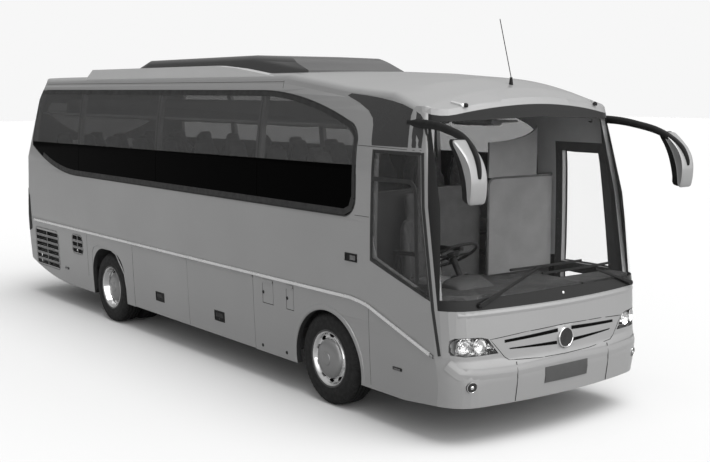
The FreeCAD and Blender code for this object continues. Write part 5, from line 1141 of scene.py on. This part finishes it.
for x, low in ((0, axle_height + 50), (rear_axle, axle_height + 72)):
    for side in (-1, 1):
        foot = at(x, side * 400, low)
        high = (700 - low) / 1000
        turn(springs, foot, upward, [(0.0, 0), (0.0, 0.070), (0.012, 0.070), (0.020, 0.058), (0.052, 0.062),
                                     (0.060, 0.078)], 40, 1)
        lobes = [(0.060 + (high - 0.072) * i / 24, 0.094 + 0.017 * math.cos(2 * math.pi * (i / 8 - 0.5)))
                 for i in range(25)]
        turn(springs, foot, upward, [(0.060, 0.070)] + lobes + [(high - 0.012, 0.070)], 40)
        turn(springs, foot, upward, [(high - 0.014, 0), (high - 0.014, 0.108), (high, 0.108), (high, 0)], 40, 1)
made("spring_bellows", springs, [rubber, frame_paint], "coach", angle=40, stands_for="air_springs")
brakes = bmesh.new()
for side in (-1, 1):
    turn(brakes, at(rear_axle - 150, side * 470, 470), Vector((0, side, 0)), [
        (-0.20, 0), (-0.20, 0.062), (-0.19, 0.070), (-0.11, 0.072), (-0.105, 0.082), (-0.092, 0.082),
        (-0.088, 0.074), (-0.02, 0.070), (0.0, 0.050), (0.004, 0.016), (0.06, 0.014), (0.06, 0)], 32)
    bar(brakes, at(rear_axle - 160, side * 440, 450), at(rear_axle, side * 440, 450), upward, 0.05, 0.012)
made("rear_brake_chambers", brakes, [frame_paint], "coach", angle=35)

# Engine, tank, battery box and luggage hold.
# The cast iron engine block stands lengthwise behind the rear axle, bolted between the rails.
# The rolled steel tank hangs by straps, and the hold is a folded sheet floor lined with boards.
iron = finish_material("cast_iron", 0.10, 0.06, (0.55, 0.8), scale=7.0, fine=240.0, bump=0.6, depth=0.0015,
                       Metallic=0.4)
tank_metal = finish_material("tank_sheet", 0.20, 0.15, (0.35, 0.5), scale=4.0, fine=300.0, bump=0.15, Metallic=0.8)
plywood = finish_material("hold_boards", 0.16, 0.10, (0.7, 0.85), scale=3.0, fine=60.0, bump=0.3, depth=0.001)
dressed("engine", [iron])
dressed("fuel_tank", [tank_metal])
dressed("battery_box", [frame_paint])
dressed("luggage_hold", [plywood])
engine_bits = bmesh.new()
for x in range(-7050, -5900, 115):
    bar(engine_bits, at(x, -300, 426), at(x, 300, 426), upward, 0.016, 0.030)
    for side in (-1, 1):
        bar(engine_bits, at(x, side * 361, 520), at(x, side * 361, 690), Vector((0, side, 0)), 0.020, 0.024)
turn(engine_bits, at(-7130, 0, 620), -forward,
     [(-0.01, 0), (-0.01, 0.13), (0.010, 0.13), (0.014, 0.115), (0.022, 0.115), (0.026, 0.13), (0.036, 0.13),
      (0.036, 0)], 40)
turn(engine_bits, at(-5880, 0, 560), forward,
     [(-0.01, 0), (-0.01, 0.15), (0.05, 0.15), (0.16, 0.10), (0.16, 0.055), (0.20, 0.05), (0.20, 0)], 40)
made("engine_castings", engine_bits, [iron], "coach", angle=30)
straps = bmesh.new()
for x in (-1080, -740):
    for a, b, up in (((436, 376), (1064, 376), upward), ((1064, 376), (1064, 772), leftward)):
        bar(straps, at(x, *a), at(x, *b), up, 0.045, 0.006)
made("tank_straps", straps, [frame_paint], "coach", angle=30)

# Passenger seats.
# Foam cushions and backs in woven cloth over a moulded shell, two to each steel stand.
# Each back narrows to its headrest, and sewn channels part it from the lower back and the cushion's middle.
woven_threads, given, out, where = effect_group("woven_threads", {"Colour": grey(0.1), "Second Colour": grey(0.2)})
threads = []
for way in ("Y", "Z"):
    wave = added(woven_threads, "ShaderNodeTexWave", Scale=70.0, Distortion=0.6)
    wave.bands_direction = way
    link(woven_threads, where, wave.inputs["Vector"])
    threads.append(wave.outputs["Fac"])
crossing = sums(woven_threads, "MULTIPLY", *threads)
tufts = added(woven_threads, "ShaderNodeTexNoise", Scale=22.0)
link(woven_threads, where, tufts.inputs["Vector"])
mixed = sums(woven_threads, "ADD", sums(woven_threads, "MULTIPLY", crossing, 0.5),
             ramp(woven_threads, tufts.outputs["Fac"], 0.35, 0.65, 0, 0.5))
link(woven_threads, ramp(woven_threads, mixed, 0.0, 1.0, 0.95, 0.75), out.inputs["Roughness"])
raised = added(woven_threads, "ShaderNodeBump", Strength=0.4, Distance=0.002)
end_effect(woven_threads, given, out, mixed, mixed, raised)


def cloth_material(name, colour, second):
    """Woven cloth with a soft sheen."""
    return effect_material(name, woven_threads, {"Colour": grey(colour), "Second_Colour": grey(second)},
                           {"Sheen_Weight": 0.35, "Sheen_Roughness": 0.4})


seat_cloth = cloth_material("seat_cloth", 0.10, 0.19)


def pad_ring(centre, half_y, low, high, bolster, upright):
    """One section of a pad: a rounded oblong across Y, thicker towards its two sides."""
    ring = []
    for i in range(20):
        t = 2 * math.pi * (i + 0.5) / 20
        y = half_y * math.copysign(abs(math.cos(t)) ** 0.45, math.cos(t))
        rise = math.copysign(abs(math.sin(t)) ** 0.45, math.sin(t))
        depth = high * rise + bolster * abs(y / half_y) ** 3 if rise > 0 else low * rise
        ring.append(centre + Vector((depth, y, 0) if upright else (0, y, depth)))
    return ring


def stuffed(form, name, voxel, cap):
    scene = bpy.context.scene
    part = in_scene(name + "_blank", finished(name, form))
    even = part.modifiers.new("even", "REMESH")
    even.mode = "VOXEL"
    even.voxel_size = voxel
    blank = settled(part)
    part.modifiers.clear()
    part.data = blank
    filling = part.modifiers.new("filling", "CLOTH")
    filling.settings.use_pressure = True
    filling.settings.uniform_pressure_force = 4.0
    filling.settings.effector_weights.gravity = 0.0
    for step in range(1, 21):
        scene.frame_set(step)
    puffed = settled(part)
    part.modifiers.clear()
    scene.frame_set(1)
    for new, old in zip(puffed.vertices, blank.vertices):
        move = new.co - old.co
        if move.length > cap:
            new.co = old.co + move.normalized() * cap
    part.data = puffed
    finer = part.modifiers.new("finer", "SUBSURF")
    finer.levels = 1
    finer.render_levels = 1
    full = settled(part)
    bpy.data.objects.remove(part)
    return full


def channel(mesh, where, wide, deep):
    """Press a sewn channel into a padded mesh; where gives a vertex's distance from the seam, or None."""
    for corner in mesh.vertices:
        far = where(corner.co)
        if far is not None and abs(far) < wide:
            corner.co -= corner.normal * deep * (0.5 + 0.5 * math.cos(math.pi * far / wide))


cushion = bmesh.new()
lofted(cushion, [pad_ring(Vector((x, 0, 1.510)), half, low, high, 0.012, False) for x, half, low, high in (
    (-0.196, 0.150, 0.036, 0.030), (-0.185, 0.186, 0.052, 0.046), (-0.10, 0.196, 0.055, 0.042),
    (0.0, 0.196, 0.055, 0.040), (0.10, 0.196, 0.055, 0.046), (0.17, 0.194, 0.054, 0.050),
    (0.196, 0.178, 0.046, 0.038), (0.206, 0.140, 0.024, 0.020))])
cushion_pad = stuffed(cushion, "seat_cushion", 0.036, 0.012)
channel(cushion_pad, lambda spot: spot.x - 0.110 if spot.z > 1.52 and abs(spot.y) < 0.16 else None, 0.026, 0.009)
channel(cushion_pad, lambda spot: abs(spot.y) - 0.150 if spot.z > 1.52 else None, 0.024, 0.008)


def back_x(z):
    """Middle of the leaning backrest at this height, ahead of the seat's own middle."""
    return -0.172 - (z - 1.5) * 0.136


backrest = bmesh.new()
lofted(backrest, [pad_ring(Vector((back_x(z), 0, z)), half, low, high, thick, True) for z, half, low, high, thick in (
    (1.492, 0.150, 0.026, 0.022, 0.0), (1.505, 0.188, 0.040, 0.034, 0.008), (1.62, 0.194, 0.044, 0.046, 0.014),
    (1.80, 0.196, 0.042, 0.040, 0.020), (1.98, 0.192, 0.040, 0.030, 0.020), (2.08, 0.176, 0.038, 0.028, 0.012),
    (2.14, 0.140, 0.036, 0.030, 0.004), (2.20, 0.116, 0.036, 0.038, 0.0), (2.27, 0.112, 0.034, 0.036, 0.0),
    (2.305, 0.098, 0.028, 0.026, 0.0), (2.318, 0.070, 0.014, 0.012, 0.0))])
back_pad = stuffed(backrest, "seat_back", 0.036, 0.012)
channel(back_pad, lambda spot: spot.z - 2.115 if abs(spot.y) < 0.15 else None, 0.028, 0.010)
channel(back_pad, lambda spot: spot.z - 1.74 if spot.x > back_x(spot.z) else None, 0.026, 0.008)
channel(back_pad, lambda spot: abs(spot.y) - 0.145 if spot.z < 2.06 and spot.x > back_x(spot.z) else None, 0.024, 0.008)
first_row = at(-180, 0, 0).x
row_count = 9
row_step = (-0.765, 0, 0)
seat_middles = (0.424, 0.891)
for word, side in (("left", 1), ("right", -1)):
    pair = bmesh.new()
    for middle in seat_middles:
        for pad in (cushion_pad, back_pad):
            new = pad.copy()
            new.transform(Matrix.Translation((first_row, side * middle, 0)))
            pair.from_mesh(new)
            bpy.data.meshes.remove(new)
    mesh = repeated(pair, "passenger_pads_" + word, row_count, seat_cloth, row_step)
    mesh.shade_smooth()
    piece = place_mesh("passenger_pads_" + word, mesh, [], "coach")
    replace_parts(piece, "passenger_seats")
    stand = bmesh.new()
    for (x0, y0, z0), (x1, y1, z1), up, wide, high in (
            ((-0.14, 0.30, 1.440), (-0.14, 1.09, 1.440), upward, 0.035, 0.024),
            ((0.12, 0.30, 1.440), (0.12, 1.09, 1.440), upward, 0.035, 0.024),
            ((-0.14, 0.50, 1.440), (-0.06, 0.50, 1.156), forward, 0.045, 0.030),
            ((0.12, 0.50, 1.440), (0.04, 0.50, 1.156), forward, 0.045, 0.030),
            ((-0.16, 0.50, 1.154), (0.14, 0.50, 1.154), upward, 0.060, 0.008)):
        bar(stand, Vector((first_row + x0, side * y0, z0)), Vector((first_row + x1, side * y1, z1)), up, wide, high)
    for middle in seat_middles:
        lofted(stand, [[Vector((first_row + back_x(z) - 0.046 - dx, side * middle + half * dy, z)) for dx, dy in (
            (-0.004, -1), (0.006, -0.96), (0.012, -0.7), (0.012, 0.7), (0.006, 0.96), (-0.004, 1))]
                       for z, half in ((1.47, 0.17), (1.50, 0.185), (1.80, 0.188), (2.02, 0.180), (2.10, 0.155),
                                       (2.15, 0.110), (2.20, 0.100))])
    for y in (side * 0.222, side * 0.658):
        bar(stand, Vector((first_row - 0.19, y, 1.70)), Vector((first_row + 0.10, y, 1.712)), upward, 0.028, 0.022)
        bar(stand, Vector((first_row - 0.17, y, 1.46)), Vector((first_row - 0.19, y, 1.70)), forward, 0.012, 0.03)
    mesh = repeated(stand, "seat_stands_" + word, row_count, black, row_step)
    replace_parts(place_mesh("seat_stands_" + word, mesh, [], "coach"), "passenger_seats")

# Driver's seat.
# A sprung seat on a pedestal covered by rubber bellows, bolted to the driver's platform.
# Its foam has deep bolsters and a fixed headrest, covered in the same kind of cloth.
driver_y = -0.640
cab_cloth = cloth_material("cab_seat_cloth", 0.10, 0.17)
cab_cushion = bmesh.new()
lofted(cab_cushion, [pad_ring(Vector((ahead(x), driver_y, 1.195)), half, low, high, 0.026, False)
                     for x, half, low, high in (
    (680, 0.17, 0.030, 0.02), (692, 0.212, 0.050, 0.036), (800, 0.224, 0.055, 0.028), (940, 0.224, 0.055, 0.026),
    (1060, 0.222, 0.055, 0.036), (1110, 0.212, 0.050, 0.032), (1128, 0.170, 0.022, 0.012))])
cab_cushion_pad = stuffed(cab_cushion, "driver_cushion", 0.022, 0.012)
cab_back = bmesh.new()
lofted(cab_back, [pad_ring(Vector((ahead(712 - (z - 1.2) * 150), driver_y, z)), half, low, high, thick, True)
                  for z, half, low, high, thick in (
    (1.215, 0.17, 0.030, 0.020, 0.0), (1.232, 0.214, 0.044, 0.034, 0.020), (1.36, 0.224, 0.046, 0.040, 0.034),
    (1.52, 0.222, 0.044, 0.030, 0.040), (1.66, 0.206, 0.042, 0.024, 0.030), (1.73, 0.176, 0.040, 0.024, 0.014),
    (1.775, 0.130, 0.038, 0.026, 0.0), (1.83, 0.126, 0.040, 0.036, 0.004), (1.93, 0.124, 0.038, 0.036, 0.004),
    (1.978, 0.110, 0.030, 0.026, 0.0), (1.995, 0.080, 0.014, 0.010, 0.0))])
cab_back_pad = stuffed(cab_back, "driver_back", 0.022, 0.012)
channel(cab_back_pad, lambda spot: spot.z - 1.755, 0.020, 0.010)
channel(cab_back_pad, lambda spot: spot.z - 1.46 if abs(spot.y - driver_y) < 0.15 else None, 0.018, 0.007)
channel(cab_back_pad, lambda spot: abs(spot.y - driver_y) - 0.158 if spot.z < 1.72 else None, 0.018, 0.008)
channel(cab_cushion_pad, lambda spot: abs(spot.y - driver_y) - 0.158 if spot.z > 1.2 else None, 0.018, 0.008)
channel(cab_cushion_pad, lambda spot: spot.x - ahead(980) if spot.z > 1.2 and abs(spot.y - driver_y) < 0.15
        else None, 0.018, 0.007)
pads = bmesh.new()
for pad in (cab_cushion_pad, cab_back_pad):
    pads.from_mesh(pad)
piece = made("driver_pads", pads, [cab_cloth], "coach", angle=75, stands_for="driver_seat")
base = bmesh.new()
rings = []
for i in range(17):
    half = 0.150 - 0.012 * (i % 2) - 0.02 * (i < 1)
    rings.append([at(900, driver_y * 1000, 0) + Vector((half * u, half * v, 0.812 + 0.0185 * i)) for u, v in (
        (-1, -0.8), (-0.8, -1), (0.8, -1), (1, -0.8), (1, 0.8), (0.8, 1), (-0.8, 1), (-1, 0.8))])
lofted(base, rings)
for z, half, high in ((790.5, 185, 22), (1110, 205, 28)):
    y = driver_y * 1000
    bar(base, at(900 - half, y, z + high / 2), at(900 + half, y, z + high / 2), upward, half / 500, high / 1000)
for side in (-1, 1):
    y = driver_y * 1000 + side * 262
    bar(base, at(640, y, 1475), at(930, y, 1490), upward, 0.045, 0.035)
    bar(base, at(655, y - side * 10, 1250), at(645, y, 1475), forward, 0.018, 0.045)
made("driver_pedestal", base, [black], "coach", angle=25, stands_for="driver_seat")

# Steering wheel.
# Moulded grip over a steel ring, with four spokes and a plain pad.
# It is bolted to the top of the tilted column and turns with it.
grip = bmesh.new()
hub = at(1090, driver_y * 1000, 1480)
tilt = math.radians(32)
stem = Vector((-math.sin(tilt), 0, math.cos(tilt)))
fore = stem.cross(leftward)
closed_turn(grip, hub, stem, [(0.015 * math.sin(2 * math.pi * i / 12), 0.225 + 0.015 * math.cos(2 * math.pi * i / 12))
                              for i in range(12)], 72)
turn(grip, hub, stem, [(-0.030, 0), (-0.030, 0.050), (-0.006, 0.072), (0.006, 0.076), (0.012, 0.068), (0.016, 0)], 32)
for spoke in (leftward, -leftward, (fore + leftward * 0.7).normalized(), (fore - leftward * 0.7).normalized()):
    bar(grip, hub + spoke * 0.06 - stem * 0.006, hub + spoke * 0.218, stem, 0.034, 0.016, 0.022, 0.013)
made("steering_wheel_moulded", grip, [black], "steering_wheel", angle=35,
     stands_for="steering_wheel")
dressed("steering_column", [black])

# Cab and saloon linings.
# Moulded dashboard with an instrument hood, trimmed partitions and vinyl-covered floor.
# The racks carry a moulded service unit over each row, with its air nozzles.
dash_skin = finish_material("dashboard_skin", 0.030, 0.022, (0.55, 0.7), scale=8.0, fine=420.0, bump=0.4,
                            depth=0.0008)
floor_vinyl = finish_material("floor_vinyl", 0.07, 0.045, (0.5, 0.7), scale=7.0, fine=260.0, bump=0.35)
dark_trim = finish_material("driver_screen_trim", 0.06, 0.045, (0.6, 0.8), scale=5.0, fine=300.0, bump=0.15)
screen_trim = finish_material("partition_trim", 0.21, 0.18, (0.6, 0.8), scale=5.0, fine=300.0, bump=0.15)
dressed("dashboard", [dash_skin], angle=40)
dressed("cabin_floor", [floor_vinyl])
dressed("entrance_steps", [floor_vinyl])
dressed("luggage_racks", [lining])
dressed("driver_screen", [dark_trim])
hood = bmesh.new()
hood_low = 1.236
hood_rise = 0.089
rings = []
for i in range(9):
    share = i / 8
    top = hood_low + (hood_rise * math.cos(math.pi * share / 2) ** 0.6 if share < 1 else 0.004)
    rings.append([at(1225 + 195 * share, 0, 0)
                  + Vector((0, driver_y + 0.235 * math.cos(math.pi * k / 20) * (1 - 0.15 * share),
                            hood_low - 0.01 + (top - hood_low + 0.01) * abs(math.sin(math.pi * k / 20)) ** 0.5))
                  for k in range(21)])
lofted(hood, rings)
for y, radius in ((-0.740, 0.055), (-0.600, 0.055), (-0.505, 0.030)):
    turn(hood, at(1224, 0, 0) + Vector((0, y, 1.282)), Vector((-1, 0, 0.35)),
         [(-0.004, 0), (-0.004, radius), (0.006, radius), (0.007, radius * 0.9), (0.002, radius * 0.86), (0.002, 0)],
         28, 1)
shelf = bmesh.new()
edge = [on_skin("front", 0.31 + 0.08 * i, 1.225)[0] - Vector((0.035, 0, 0)) for i in range(10)]
outline = [(spot.x, spot.y) for spot in edge] + [(4.135, edge[-1].y), (4.135, 0.31)]
lofted(shelf, [[Vector((x, y, z)) for x, y in outline] for z in (1.205, 1.232)])
made("entrance_shelf", shelf, [dash_skin], "coach", angle=30)
made("instrument_hood", hood, [dash_skin, black], "coach", angle=40)
cab_trim = bmesh.new()
quarter = math.pi / 2
outline = [(245, 1150.5)]
outline += [(325 - 80 * math.cos(quarter * i / 6), 1985 + 80 * math.sin(quarter * i / 6)) for i in range(7)]
outline += [(1105, 2065), (1105, 1150.5)]
lofted(cab_trim, [[at(x, y, z) for y, z in outline] for x in (602, 622)])
over = [(245, 2068), (245, 2400)]
over += [(245 + 635 * math.sin(quarter * i / 8), 2549 - 149 * math.cos(quarter * i / 8)) for i in range(1, 9)]
lofted(cab_trim, [[at(x, y, z) for y, z in over + [(880, 2068)]] for x in (600, 624)])
made("entrance_screen", cab_trim, [screen_trim], "coach", angle=30)


def tube(form, points, radius, sides=10):
    """Round tube along a line of points."""
    rings = []
    for i, spot in enumerate(points):
        along = (points[min(i + 1, len(points) - 1)] - points[max(i - 1, 0)]).normalized()
        u = along.orthogonal().normalized() if i == 0 else (u - along * u.dot(along)).normalized()
        v = along.cross(u)
        rings.append([spot + (u * math.cos(2 * math.pi * k / sides) + v * math.sin(2 * math.pi * k / sides)) * radius
                      for k in range(sides)])
    lofted(form, rings)


rails = bmesh.new()
tube(rails, [at(612, y, z) for y, z in outline[:-1]], 0.016)
tube(rails, [at(492, y, z) for y, z in ((-1080, 1996), (-700, 1998), (-300, 1998), (180, 1998), (222, 1985),
                                        (238, 1955), (240, 1700), (240, 1152))], 0.016)
made("handrails", rails, [rim_steel], "coach", angle=40)
for word, side in (("left", 1), ("right", -1)):
    unit = bmesh.new()
    middle = side * 0.84
    lofted(unit, [[Vector((first_row + x, middle + 0.085 * u * share, 2.560 - 0.030 * v * share))
                   for u, v in ((-1, -0.1), (-0.92, 0.6), (-0.6, 1), (0.6, 1), (0.92, 0.6), (1, -0.1))]
                  for x, share in ((-0.30, 0.80), (-0.28, 0.95), (-0.22, 1.0), (0.22, 1.0), (0.28, 0.95),
                                   (0.30, 0.80))])
    for x in (-0.12, 0.12):
        turn(unit, Vector((first_row + x, middle, 2.532)), -upward,
             [(-0.004, 0), (-0.004, 0.026), (0.006, 0.024), (0.008, 0.016), (0.004, 0.010), (0.004, 0)], 16)
    bmesh.ops.recalc_face_normals(unit, faces=unit.faces)
    mesh = repeated(unit, "service_units_" + word, row_count, lining, row_step)
    place_mesh("service_units_" + word, mesh, [], "coach")
